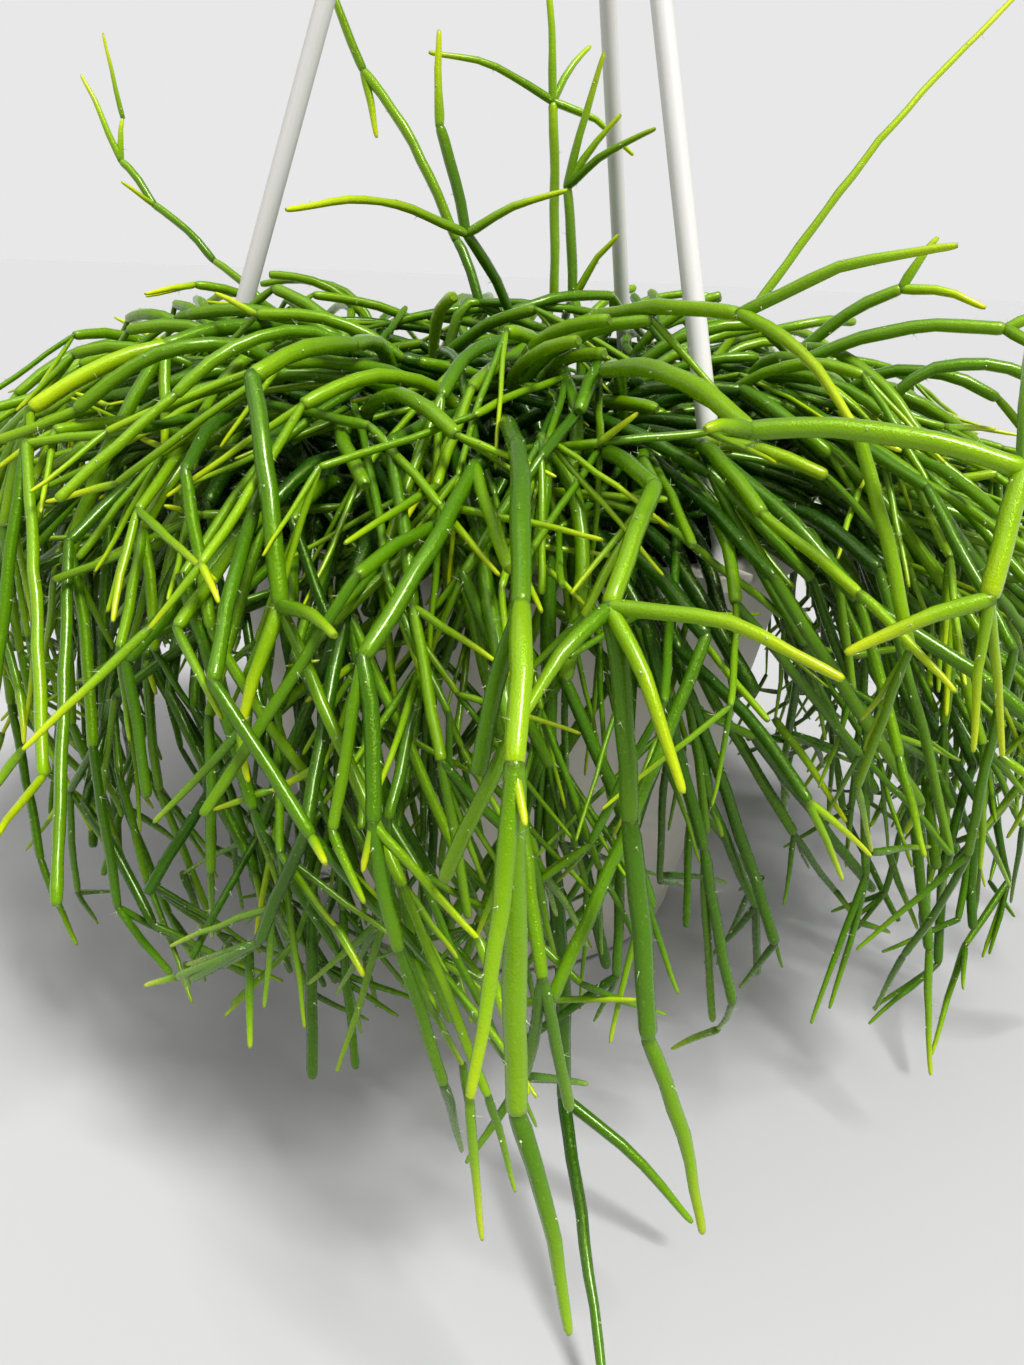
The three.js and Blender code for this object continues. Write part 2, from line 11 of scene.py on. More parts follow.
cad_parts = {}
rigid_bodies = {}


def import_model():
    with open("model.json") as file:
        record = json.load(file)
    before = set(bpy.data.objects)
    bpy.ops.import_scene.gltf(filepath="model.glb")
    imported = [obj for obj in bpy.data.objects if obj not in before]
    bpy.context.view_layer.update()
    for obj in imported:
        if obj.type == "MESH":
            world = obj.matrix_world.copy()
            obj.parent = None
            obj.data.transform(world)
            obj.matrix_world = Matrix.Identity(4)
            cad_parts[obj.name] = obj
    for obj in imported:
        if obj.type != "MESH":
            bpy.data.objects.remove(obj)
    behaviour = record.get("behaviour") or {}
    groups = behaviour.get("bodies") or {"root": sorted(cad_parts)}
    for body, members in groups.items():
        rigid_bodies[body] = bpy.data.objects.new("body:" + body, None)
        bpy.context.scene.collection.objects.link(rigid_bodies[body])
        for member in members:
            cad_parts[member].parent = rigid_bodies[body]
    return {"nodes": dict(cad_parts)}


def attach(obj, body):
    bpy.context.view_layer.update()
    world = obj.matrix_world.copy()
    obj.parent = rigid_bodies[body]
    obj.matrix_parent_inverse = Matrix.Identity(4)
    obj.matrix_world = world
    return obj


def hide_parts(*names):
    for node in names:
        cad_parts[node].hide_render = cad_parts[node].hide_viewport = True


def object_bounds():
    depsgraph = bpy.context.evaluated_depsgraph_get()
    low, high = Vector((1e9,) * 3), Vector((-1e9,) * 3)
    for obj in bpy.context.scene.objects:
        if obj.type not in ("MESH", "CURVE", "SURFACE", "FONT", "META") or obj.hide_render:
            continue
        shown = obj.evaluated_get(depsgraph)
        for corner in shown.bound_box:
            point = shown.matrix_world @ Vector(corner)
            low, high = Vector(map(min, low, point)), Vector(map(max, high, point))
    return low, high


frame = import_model()
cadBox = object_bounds()
print("stage: frame loaded")


def newObject(name, data):
    made = bpy.data.objects.new(name, data)
    bpy.context.scene.collection.objects.link(made)
    return made


# camera, at the photograph's angle

cameraLook = {"lens": 29.0, "place": (0.003, -0.375, 0.230), "pitch": 21.8, "roll": 2.4}


def makeCamera():
    pitch = math.radians(cameraLook["pitch"])
    roll = math.radians(cameraLook["roll"])
    rightWay = np.array((1.0, 0.0, 0.0))
    upWay = np.array((0.0, math.sin(pitch), math.cos(pitch)))
    right = rightWay * math.cos(roll) + upWay * math.sin(roll)
    up = upWay * math.cos(roll) - rightWay * math.sin(roll)
    back = np.cross(right, up)
    data = bpy.data.cameras.new("camera")
    data.lens = cameraLook["lens"]
    data.sensor_width = 36.0
    data.clip_start = 0.005
    camera = newObject("camera", data)
    turn = np.identity(4)
    turn[:3, 0], turn[:3, 1], turn[:3, 2] = right, up, back
    turn[:3, 3] = cameraLook["place"]
    camera.matrix_world = Matrix(turn.tolist())
    bpy.context.scene.camera = camera


makeCamera()


# small helpers for node trees

def addNode(tree, kind, **values):  # each value goes to the node's setting or input of that name
    node = tree.nodes.new(kind)
    for name, value in values.items():
        if hasattr(node, name):
            setattr(node, name, value)
        else:
            node.inputs[name].default_value = value
    return node


def link(tree, *joins):  # in threes: a socket, or a node for its first output, then a node and its input
    for source, node, name in zip(joins[::3], joins[1::3], joins[2::3]):
        source = source if isinstance(source, bpy.types.NodeSocket) else source.outputs[0]
        tree.links.new(source, node.inputs[name])


def newMaterial(name):
    material = bpy.data.materials.new(name)
    material.use_nodes = True
    tree = material.node_tree
    shader = tree.nodes["Principled BSDF"]
    coords = tree.nodes.new("ShaderNodeTexCoord")
    return material, tree, shader, coords


def noiseOf(tree, coords, scale, detail=3.0, roughness=0.5):
    texture = addNode(tree, "ShaderNodeTexNoise", Scale=scale, Detail=detail, Roughness=roughness)
    link(tree, coords.outputs["Object"], texture, "Vector")
    return texture


def rampOf(tree, source, stops):
    ramp = addNode(tree, "ShaderNodeValToRGB")
    elements = ramp.color_ramp.elements
    while len(elements) < len(stops):
        elements.new(0.5)
    for element, (place, colour) in zip(elements, stops):
        element.position = place
        element.color = (*colour, 1.0)
    link(tree, source, ramp, "Fac")
    return ramp


def spanOf(tree, source, low, high):
    span = addNode(tree, "ShaderNodeMapRange", **{"To Min": low, "To Max": high})
    link(tree, source, span, "Value")
    return span


def bumpOf(tree, shader, height, strength, distance, before=None):
    bump = addNode(tree, "ShaderNodeBump", Strength=strength, Distance=distance)
    link(tree, height, bump, "Height", bump, shader, "Normal")
    if before:
        link(tree, before, bump, "Normal")
    return bump


def mixOf(tree, factor, first, second, blend="MIX"):
    mixer = addNode(tree, "ShaderNodeMix", data_type="RGBA", blend_type=blend)
    for place, source in ((0, factor), (6, first), (7, second)):
        if isinstance(source, float):
            mixer.inputs[place].default_value = source
        elif isinstance(source, tuple):
            mixer.inputs[place].default_value = (*source, 1.0)
        else:
            link(tree, source, mixer, place)
    return mixer.outputs[2]


# finishes

stemFinish = {
    "ages": (  # from the oldest skin to the freshest tip; the value read here also carries painted shade on lengths deep and low in the plant and painted light on high, outer ones
        (0.0, (0.002, 0.019, 0.001)),
        (0.28, (0.011, 0.064, 0.001)),
        (0.50, (0.066, 0.186, 0.001)),
        (0.74, (0.215, 0.410, 0.002)),
        (1.0, (0.540, 0.660, 0.004)),
    ),
    "paintedShadeAndLight": ((0.0, (0.55, 0.66, 0.60)), (1.0, (1.30, 1.18, 1.0))),  # painted shade deep in the crown and low down, to painted light high and out, partly varied at random
    "dull": (0.022, 0.066, 0.001),
    "dullShare": 0.35,
    "fleck": (0.24, 0.36, 0.07),
    "fleckShares": ((0.66, (0.0, 0.0, 0.0)), (0.80, (0.30, 0.30, 0.30))),
    "ring": (0.030, 0.045, 0.010),  # round each joint
    "ringShare": 0.5,
    "scales": {"patches": 60.0, "flecks": 1100.0, "gloss": 700.0, "pores": 2400.0, "waves": 420.0},
    "roughness": (0.18, 0.36),
    "poreBump": (0.5, 0.0003),
    "waveBump": (0.25, 0.0006),
    "shine": {"Specular IOR Level": 0.5, "Specular Tint": (0.65, 1.0, 0.12, 1.0), "Coat Weight": 0.36,
              "Coat Roughness": 0.13},
}


def stemMaterial():
    material, tree, shader, coords = newMaterial("stemGreen")
    # the age colour and the shade tint both carry painted shade and light
    age, shade, ring = (addNode(tree, "ShaderNodeAttribute", attribute_name=name).outputs["Fac"]
                        for name in ("age", "shade", "ring"))
    scales = stemFinish["scales"]
    patches = noiseOf(tree, coords, scales["patches"], 2.0)
    flecks = noiseOf(tree, coords, scales["flecks"], 1.0)
    gloss = noiseOf(tree, coords, scales["gloss"])
    pores = noiseOf(tree, coords, scales["pores"], 2.0, 0.6)
    waves = noiseOf(tree, coords, scales["waves"], 2.0)
    colour = mixOf(tree, spanOf(tree, patches, 0.0, stemFinish["dullShare"]),
                   rampOf(tree, age, stemFinish["ages"]), stemFinish["dull"])
    # painted shade deep in the crown and low down, painted light high and out, multiplied into the colour
    colour = mixOf(tree, 1.0, colour, rampOf(tree, shade, stemFinish["paintedShadeAndLight"]), "MULTIPLY")
    colour = mixOf(tree, rampOf(tree, flecks, stemFinish["fleckShares"]), colour, stemFinish["fleck"])
    colour = mixOf(tree, spanOf(tree, ring, 0.0, stemFinish["ringShare"]), colour, stemFinish["ring"])
    link(tree, colour, shader, "Base Color",
         spanOf(tree, gloss, *stemFinish["roughness"]), shader, "Roughness")
    bumpOf(tree, shader, waves, *stemFinish["waveBump"], bumpOf(tree, shader, pores, *stemFinish["poreBump"]))
    for name, value in stemFinish["shine"].items():
        shader.inputs[name].default_value = value
    return material


potFinish = {"colour": (0.62, 0.59, 0.51), "roughness": 0.42, "specks": 0.25, "bump": (0.15, 0.0002)}
hangerFinish = {"colour": (0.64, 0.63, 0.60), "roughness": 0.38, "specks": 0.12, "bump": (0.10, 0.0002)}
plasticWays = {"clouds": 22.0, "cloudShade": 0.93, "dust": 700.0, "dustShade": 0.7, "dustFrom": 0.60,
               "dustTo": 0.80, "grain": 1200.0, "glossier": 0.06, "duller": 0.08}


def plasticMaterial(name, finish):
    material, tree, shader, coords = newMaterial(name)
    colour, roughness, specks = finish["colour"], finish["roughness"], finish["specks"]
    clouds = noiseOf(tree, coords, plasticWays["clouds"])
    body = mixOf(tree, clouds, colour, tuple(c * plasticWays["cloudShade"] for c in colour))
    dust = rampOf(tree, noiseOf(tree, coords, plasticWays["dust"], 2.0),
                  ((plasticWays["dustFrom"], (0.0,) * 3), (plasticWays["dustTo"], (specks,) * 3)))
    dusty = mixOf(tree, dust, body, tuple(c * plasticWays["dustShade"] for c in colour))
    gloss = spanOf(tree, clouds, roughness - plasticWays["glossier"], roughness + plasticWays["duller"])
    link(tree, dusty, shader, "Base Color", gloss, shader, "Roughness")
    bumpOf(tree, shader, noiseOf(tree, coords, plasticWays["grain"], 2.0), *finish["bump"])
    return material


soilFinish = {
    "browns": ((0.30, (0.010, 0.006, 0.004)), (0.55, (0.045, 0.026, 0.014)), (0.78, (0.14, 0.09, 0.05))),
    "lumps": (260.0, 5.0, 0.65),
    "bump": (0.8, 0.0015),
    "roughness": 0.95,
}


def soilMaterial():
    material, tree, shader, coords = newMaterial("pottingSoil")
    lumps = noiseOf(tree, coords, *soilFinish["lumps"])
    link(tree, rampOf(tree, lumps, soilFinish["browns"]), shader, "Base Color")
    shader.inputs["Roughness"].default_value = soilFinish["roughness"]
    bumpOf(tree, shader, lumps, *soilFinish["bump"])
    return material


bristleFinish = {"clouds": (90.0, 1.0), "colours": ((0.72, 0.80, 0.50), (0.42, 0.52, 0.20)), "roughness": 0.4}
perliteFinish = {"clouds": (500.0, 2.0), "colours": ((0.85, 0.84, 0.80), (0.55, 0.52, 0.46)),
                 "roughness": 0.9, "bump": (0.6, 0.0006)}


def cloudyMaterial(name, finish):
    material, tree, shader, coords = newMaterial(name)
    clouds = noiseOf(tree, coords, *finish["clouds"])
    link(tree, mixOf(tree, clouds, *finish["colours"]), shader, "Base Color")
    shader.inputs["Roughness"].default_value = finish["roughness"]
    if "bump" in finish:
        bumpOf(tree, shader, clouds, *finish["bump"])
    return material


stemGreen = stemMaterial()
potPlastic = plasticMaterial("potPlastic", potFinish)
hangerPlastic = plasticMaterial("hangerPlastic", hangerFinish)
soilBrown = soilMaterial()
paleBristle = cloudyMaterial("paleBristle", bristleFinish)
perliteWhite = cloudyMaterial("perliteWhite", perliteFinish)
print("stage: finishes made")


# pot and hanger: smooth copies of the CAD nodes

smoothing = {"weld": 0.00002, "potAngle": 35, "hangerAngle": 40}


def asPiece(name, mesh, material, slot, *nodes):
    piece = newObject(name, mesh)
    if material:
        piece.data.materials.clear()
        piece.data.materials.append(material)
    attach(piece, "root")
    if nodes:
        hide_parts(*nodes)
    return piece


def smoothCopy(node, name, material, slot, angle):
    work = bmesh.new()
    work.from_mesh(frame["nodes"][node].data)
    bmesh.ops.remove_doubles(work, verts=work.verts, dist=smoothing["weld"])
    mesh = bpy.data.meshes.new(name)
    work.to_mesh(mesh)
    work.free()
    mesh.shade_smooth()
    mesh.set_sharp_from_angle(angle=math.radians(angle))
    return asPiece(name, mesh, material, slot, node)


smoothCopy("pot", "potShell", potPlastic, "pot_plastic", smoothing["potAngle"])
for node, name in (("hanger_arm_1", "hangerArm1"), ("hanger_arm_2", "hangerArm2"),
                   ("hanger_arm_3", "hangerArm3"), ("hanger_hook", "hangerHook")):
    smoothCopy(node, name, hangerPlastic, "hanger_plastic", smoothing["hangerAngle"])
print("stage: pot and hanger made")


# how the stems grow, in millimetres, as in the CAD source

pot = {"height": 150, "baseRadius": 66, "rimRadius": 99, "wall": 2.4, "lipHeight": 10, "lipOut": 3,
       "liftBelowRim": 12}
soil = {"top": 138, "crown": 4, "holeDepth": 13}
lug = {"eyeOut": 106, "eyeHeights": (141, 153), "eyeRadius": 9}
hanger = {"firstArm": -57, "arms": 3, "radius": 2.9, "topOut": 7, "topHeight": 465, "seatDepth": 6}
gap = 0.35
stem = {"radii": (2.3, 2.1, 1.85, 1.6, 1.4, 1.3), "tipRadius": 1.15, "air": 0.7, "rise": 3, "sprays": 52,
        "offRim": 3, "underLip": 4, "offFloor": 0.3, "hangsBelow": 135, "leastFall": 0.3, "past": 4,
        "rootSteps": 4}
dome = {"seed": 100, "swirl": 56, "hang": (38, 66), "flat": 0.85, "rise": 0.034, "edge": (0.14, 0.62),
        "lean": (50, 70), "leanParts": (0.7, 0.3), "vigour": (0.8, 1), "rootOut": (8, 80), "outSpread": 4,
        "goldenTurn": 137.508, "turnSpread": 14, "rootLength": 92, "outerShorter": 22, "lengthSpread": 16}
# by azimuth, how far out and how low the shoots may reach
skirt = ((-180, 172, 62), (-150, 168, 44), (-130, 166, 34), (-110, 184, 32), (-90, 202, 30), (-70, 202, 26),
         (-45, 202, 22), (-20, 212, 24), (0, 214, 34), (40, 204, 50), (90, 192, 52), (140, 186, 52),
         (180, 172, 62))
ceiling = {"top": 207, "from": 60, "fall": 0.27, "ease": 50, "below": 4}
growth = (
    {"lengths": (46, 70), "turn": (6, 26), "steps": 2, "pull": 0.019, "sideChance": 0.34},
    {"lengths": (42, 64), "turn": (6, 28), "steps": 2, "pull": 0.016, "sideChance": 0.44},
    {"lengths": (38, 58), "turn": (6, 30), "steps": 1, "pull": 0.008, "sideChance": 0.46},
    {"lengths": (34, 54), "turn": (6, 32), "steps": 1, "pull": 0.0055, "sideChance": 0.42},
    {"lengths": (24, 46), "turn": (6, 36), "steps": 1, "pull": 0.004, "sideChance": 0.28},
)
branching = {"sideTurn": (28, 58), "sideTries": 2, "sideGrowsOn": 0.5, "attempts": 24, "rootAttempts": 72,
             "shrink": 0.4}


def add(a, b):
    return (a[0] + b[0], a[1] + b[1], a[2] + b[2])


def sub(a, b):
    return (a[0] - b[0], a[1] - b[1], a[2] - b[2])


def scale(a, s):
    return (a[0] * s, a[1] * s, a[2] * s)


def dot(a, b):
    return a[0] * b[0] + a[1] * b[1] + a[2] * b[2]


def size(a):
    return math.sqrt(dot(a, a))


def cross(a, b):
    return (a[1] * b[2] - a[2] * b[1], a[2] * b[0] - a[0] * b[2], a[0] * b[1] - a[1] * b[0])


def unit(a):
    return scale(a, 1 / size(a))


def mix(a, b, t):
    return add(scale(a, 1 - t), scale(b, t))


def radians(degrees):
    return (degrees * math.pi) / 180


def clamp(v, low, high):
    return min(high, max(low, v))


def between(span, t):
    return span[0] + (span[1] - span[0]) * t


def around(out, azimuth, z):
    return (out * math.cos(radians(azimuth)), out * math.sin(radians(azimuth)), z)


def numbers(seed):  # a repeatable stream of numbers from 0 to 1
    state = [seed & 0xFFFFFFFF]

    def draw():
        state[0] = (state[0] + 0x6D2B79F5) & 0xFFFFFFFF
        t = state[0]
        t = ((t ^ (t >> 15)) * (t | 1)) & 0xFFFFFFFF
        t ^= (t + (((t ^ (t >> 7)) * (t | 61)) & 0xFFFFFFFF)) & 0xFFFFFFFF
        return ((t ^ (t >> 14)) & 0xFFFFFFFF) / 4294967296

    return draw


rods = []  # every length of stem, in the order it grew
segments = {"count": 0, "a": np.zeros((16000, 3)), "b": np.zeros((16000, 3)),
            "rod": np.zeros(16000, int), "end": np.zeros(16000, bool)}
spheres = {"count": 0, "middle": np.zeros((5000, 3)), "reach": np.zeros(5000), "radius": np.zeros(5000)}


def potRadius(z):
    if z > pot["height"] - pot["lipHeight"] - stem["underLip"]:
        return pot["rimRadius"] + pot["lipOut"]
    return pot["baseRadius"] + ((pot["rimRadius"] - pot["baseRadius"]) * z) / pot["height"]


def keepClear(p, radius):  # out of the floor, the soil, the pot's wall and its rim
    reach = radius + stem["air"]
    out = math.hypot(p[0], p[1])
    x, y, z = p
    if out < pot["rimRadius"] - pot["wall"] - stem["offRim"] - reach:
        return (x, y, max(z, soil["top"] + soil["crown"] + reach))
    if z < pot["height"] + reach and out < potRadius(z) + reach:
        if z > pot["height"] - pot["liftBelowRim"]:
            z = pot["height"] + reach
        else:
            push = (potRadius(z) + reach) / out
            x *= push
            y *= push
    return (x, y, max(z, radius + stem["offFloor"]))


def withBounds(rod):
    points = rod["points"]
    rod["middle"] = mix(points[0], points[-1], 0.5)
    rod["reach"] = max(size(sub(p, rod["middle"])) for p in points)
    return rod


def keepInMind(rod):
    i = spheres["count"]
    for key in ("middle", "reach", "radius"):
        spheres[key][i] = rod[key]
    spheres["count"] += 1
    rod["index"] = i
    last = len(rod["points"]) - 2
    for j in range(last + 1):
        k = segments["count"]
        segments["a"][k], segments["b"][k] = rod["points"][j], rod["points"][j + 1]
        segments["rod"][k] = i
        segments["end"][k] = j == 0 or j == last
        segments["count"] += 1


def addRod(rod):
    withBounds(rod)
    keepInMind(rod)
    rod["children"] = []
    if rod["parent"]:
        rod["parent"]["children"].append(rod)
    rods.append(rod)
    return rod


def newRod(points, radius, generation, parent, shoot, young=False):
    return {"points": points, "radius": radius, "generation": generation, "parent": parent, "shoot": shoot,
            "young": young}


def insideBox(points):  # inside the CAD model's box, or only a little past it
    past = stem["past"]
    return all(low * 1000 - past < v < high * 1000 + past for p in points for v, low, high in zip(p, *cadBox))


def isClear(rod, kin, air=None):  # whether a new length clears all others
    air = stem["air"] if air is None else air
    withBounds(rod)
    n = spheres["count"]
    apart = spheres["middle"][:n] - rod["middle"]
    touch = spheres["radius"][:n] + (rod["radius"] + air)
    near = np.sqrt((apart * apart).sum(1)) <= spheres["reach"][:n] + rod["reach"] + touch
    if not near.any():
        return True
    m = segments["count"]
    picked = np.nonzero(near[segments["rod"][:m]])[0]
    c, d = segments["a"][picked], segments["b"][picked]
    limit = touch[segments["rod"][picked]]
    related = np.isin(segments["rod"][picked], [r["index"] for r in kin])
    skipEnds = related & segments["end"][picked]
    v = d - c
    vv = (v * v).sum(1)
    for i in range(len(rod["points"]) - 1):
        a, b = np.array(rod["points"][i]), np.array(rod["points"][i + 1])
        u = b - a
        w = a - c
        uu = float((u * u).sum())
        uv = (v * u).sum(1)
        uw = (w * u).sum(1)
        vw = (w * v).sum(1)
        den = uu * vv - uv * uv
        s = np.where(den > 1e-9, np.clip((uv * vw - vv * uw) / np.where(den > 1e-9, den, 1), 0, 1), 0)
        t = (uv * s + vw) / vv
        s = np.where(t < 0, np.clip(-uw / uu, 0, 1), np.where(t > 1, np.clip((uv - uw) / uu, 0, 1), s))
        t = np.clip(t, 0, 1)
        gapWay = w + u * s[:, None] - v * t[:, None]
        hit = np.sqrt((gapWay * gapWay).sum(1)) < limit
        hit &= ~(related if i == 0 else skipEnds)
        if hit.any():
            return False
    return True


def archingLine(start, d, length, steps, radius, shoot, pull):
    points = [start]
    step = length / steps
    for i in range(steps):
        p = points[i]
        out = math.hypot(p[0], p[1]) + 1e-6
        way = clamp((out - shoot["out"]) / (shoot["edge"] - shoot["out"]), 0, 1)
        slope = radians(shoot["lean"] - (shoot["lean"] + shoot["hang"]) * way ** dome["flat"])
        slope = min(slope, (ceilingAt(out) - ceiling["below"] - p[2]) / ceiling["ease"])
        level = math.cos(slope) / out
        c, s = shoot["swirl"]
        arch = ((p[0] * c - p[1] * s) * level, (p[0] * s + p[1] * c) * level, math.sin(slope))
        heading = unit(mix(d, arch, min(1, pull * step)))
        following = keepClear(add(p, scale(heading, step)), radius)
        d = unit(sub(following, p))
        points.append(following)
    return points


def endHeading(points):
    return unit(sub(points[-1], points[-2]))


def turned(d, turn, spin):
    side = unit(cross(d, (0, 0, 1) if abs(d[2]) < 0.9 else (1, 0, 0)))
    other = cross(d, side)
    across = add(scale(side, math.cos(spin)), scale(other, math.sin(spin)))
    return unit(add(scale(d, math.cos(turn)), scale(across, math.sin(turn))))


def skirtAt(azimuth):
    azimuth -= 360 * math.floor((azimuth + 180) / 360)
    for (low, *a), (high, *b) in zip(skirt, skirt[1:]):
        if azimuth <= high:
            t = (azimuth - low) / (high - low)
            return tuple(x + (y - x) * t for x, y in zip(a, b))
    return skirt[-1][1:]


def ceilingAt(out):
    return ceiling["top"] - ceiling["fall"] * max(0, out - ceiling["from"])


def inShape(points, above=0, widest=999):
    for x, y, z in points[1:]:
        out = math.hypot(x, y)
        reach, low = skirtAt(math.degrees(math.atan2(y, x)))
        if out > min(reach, widest) or z < low + above or z > ceilingAt(out):
            return False
    return True


def hangs(points):
    start, end = points[0], points[-1]
    return start[2] > stem["hangsBelow"] or start[2] - end[2] > stem["leastFall"] * size(sub(end, start))


def clearsPot(points, radius):
    for a, b in zip(points, points[1:]):
        count = math.ceil(size(sub(b, a)) / 2)
        for k in range(1, count):
            p = mix(a, b, k / count)
            if size(sub(keepClear(p, radius), p)) > stem["air"] - 0.1:
                return False
    return True


def growOne(parent, generation, turns, random, room=None):
    rule = growth[generation - 1]
    start = parent["points"][-1]
    along = endHeading(parent["points"])
    young = generation == len(growth)
    shoot = parent["shoot"]
    radius = (stem["tipRadius"] if young else stem["radii"][generation]) * shoot.get("slim", 1)
    kin = [parent, *parent["children"]]
    for i in range(branching["attempts"]):
        vigour = shoot["vigour"] * (1 - (branching["shrink"] * i) / branching["attempts"])
        length = between(rule["lengths"], random()) * vigour
        turn = radians(between(turns, random()))
        d = turned(along, turn, 2 * math.pi * random())
        pull = rule["pull"] * shoot.get("pull", 1)
        points = archingLine(start, d, length, rule["steps"], radius, shoot, pull)
        rod = newRod(points, radius, generation, parent, shoot, young)
        fits = inShape(points, shoot.get("above", 0), shoot.get("reach", 999)) and hangs(points)
        fits = fits and clearsPot(points, radius)
        if fits and isClear(rod, kin, room):
            return addRod(rod)
    return None


def growFrom(parent, random, room=None):
    generation = parent["generation"] + 1
    if generation > len(growth):
        return
    rule = growth[generation - 1]
    sideTurn = branching["sideTurn"]
    following = (growOne(parent, generation, rule["turn"], random, room)
                 or growOne(parent, generation, sideTurn, random, room))
    if following:
        growFrom(following, random, room)
    for i in range(branching["sideTries"]):
        if random() < rule["sideChance"]:
            side = growOne(parent, min(generation + 2, len(growth)), sideTurn, random, room)
            if side and random() < branching["sideGrowsOn"]:
                growFrom(side, random, room)


def rootShoot(shoot, azimuth, length, air):
    radius = stem["radii"][0]
    lean = radians(shoot["lean"])
    foot = around(shoot["out"], azimuth, soil["top"] - soil["holeDepth"] + gap)
    start = around(shoot["out"], azimuth, soil["top"] + soil["crown"] + stem["rise"])
    d = around(math.cos(lean), azimuth, math.sin(lean))
    points = [foot, *archingLine(start, d, length, stem["rootSteps"], radius, shoot, dome["rise"])]
    rod = newRod(points, radius, 0, None, shoot)
    fits = inShape(points[1:]) and clearsPot(points[1:], radius)
    return addRod(rod) if fits and isClear(rod, [], air) else None


def plantSpray(spray, place, count):
    random = numbers(dome["seed"] + spray)
    share = math.sqrt((place + 0.5) / count)
    for i in range(branching["rootAttempts"]):
        out = between(dome["rootOut"], share) + dome["outSpread"] * (random() - 0.5)
        azimuth = dome["goldenTurn"] * place + dome["turnSpread"] * (random() - 0.5)
        edge = between((out, skirtAt(azimuth)[0]), between(dome["edge"], random()))
        leanLow, leanHigh = dome["lean"]
        byPlace, byChance = dome["leanParts"]
        lean = leanHigh - (leanHigh - leanLow) * (byPlace * (1 - share) + byChance * random())
        swirl = radians(dome["swirl"] * (2 * random() - 1))
        vigour = between(dome["vigour"], random())
        shoot = {"spray": spray, "out": out, "edge": edge, "lean": lean,
                 "hang": between(dome["hang"], random()), "vigour": vigour,
                 "swirl": (math.cos(swirl), math.sin(swirl))}
        length = dome["rootLength"] - dome["outerShorter"] * share + dome["lengthSpread"] * (random() - 0.5)
        rod = rootShoot(shoot, azimuth, length, stem["air"])
        if rod:
            growFrom(rod, random)
            return


leaderWays = {"overShare": 0.15, "overBy": 6, "bow": 0.14, "steps": 3, "tipSteps": 2, "tipRadius": 0.8,
              "seed": 7, "shoot": {"edge": 200, "lean": 60, "hang": 66, "vigour": 1, "swirl": (1, 0)}}
# the shoots that stand out by themselves: where each is rooted, and where its lengths and side lengths end
leaders = (
    {"name": "upright_tall", "root": (52, 82), "radius": 2,
     "joints": ((13, 70, 208), (9, 75, 278), (4, 80, 325)),
     "forks": ((1, (-35, 60, 290)), (1, (22, 88, 298)), (1, (40, 80, 262)))},
    {"name": "upright_short", "root": (42, 55), "radius": 2,
     "joints": ((19, 50, 211), (15, 50, 249), (25, 44, 290)),
     "forks": ((1, (43, 34, 267)), (1, (32, 46, 272)), (0, (34, 44, 234)))},
    {"name": "upright_left", "root": (20, 110), "radius": 2,
     "joints": ((-3, 20, 208), (-18, 10, 232), (-27, 10, 263), (-28, 15, 290)),
     "forks": ((1, (-66, -40, 236)), (1, (14, 8, 246)))},
    {"name": "back_left_long", "root": (38, 140), "radius": 2,
     "joints": ((-14, 32, 210), (-23, 40, 230), (-57, 55, 283), (-80, 66, 328)),
     "forks": ((2, (-52, 50, 262)),)},
    {"name": "left_thin", "root": (62, 135), "radius": 1.7,
     "joints": ((-94, 68, 200), (-118, 75, 219), (-141, 80, 238), (-154, 85, 253), (-168, 90, 282)),
     "forks": ((3, (-153, 88, 268)),)},
    {"name": "right_straight", "root": (44, 5), "radius": 1.9,
     "joints": ((62, 0, 192), (158, 32, 314)),
     "forks": ()},
    {"name": "right_arch", "root": (36, -62), "radius": 2,
     "joints": ((8, -60, 206), (51, -112, 217), (91, -130, 233)),
     "forks": ((1, (70, -150, 198)),)},
    {"name": "right_far", "root": (66, -22), "radius": 2,
     "joints": ((80, -58, 203), (128, -72, 214), (148, -74, 222)),
     "forks": ((1, (138, -92, 203)),)},
    {"name": "right_fork", "root": (60, 8), "radius": 2,
     "joints": ((82, -30, 200), (110, -38, 222), (118, -38, 236)),
     "forks": ((1, (132, -46, 218)),)},
    {"name": "front_right", "root": (62, -58), "radius": 2.3,
     "joints": ((22, -108, 203), (47, -158, 198), (98, -166, 194), (91, -178, 172), (66, -178, 160)),
     "forks": ((1, (37, -166, 199)), (2, (107, -136, 216)))},
    {"name": "front_middle", "root": (56, -96), "radius": 2.3,
     "joints": ((2, -140, 190), (4, -188, 170), (4, -212, 150), (7, -226, 90), (18, -236, 50)),
     "forks": ((2, (-1, -236, 102)),)},
    {"name": "front_fork", "root": (74, -80), "radius": 2.2,
     "joints": ((31, -146, 184), (21, -174, 166), (27, -186, 126), (33, -198, 84), (47, -206, 42)),
     "forks": ((1, (35, -196, 138)), (1, (62, -192, 160)), (1, (4, -196, 150)))},
    {"name": "left_arch", "root": (58, -165), "radius": 2.3, "grows": True,
     "joints": ((-63, -42, 205), (-93, -72, 201), (-122, -92, 186)),
     "forks": ((1, (-90, -88, 176)),)},
    {"name": "front_left", "root": (54, -122), "radius": 2.3,
     "joints": ((-40, -92, 205), (-58, -122, 200), (-47, -152, 156), (-54, -164, 132)),
     "forks": ((2, (-32, -172, 157)),)},
    {"name": "trailing", "root": (75, -98), "radius": 2.1,
     "joints": ((10, -128, 166), (14, -146, 96), (20, -160, 34), (30, -222, 2)),
     "forks": ((2, (52, -176, 12)),)},
)


def curved(a, b, c, steps):  # from a to c, drawn towards b
    return [mix(mix(a, b, i / steps), mix(b, c, i / steps), i / steps) for i in range(steps + 1)]


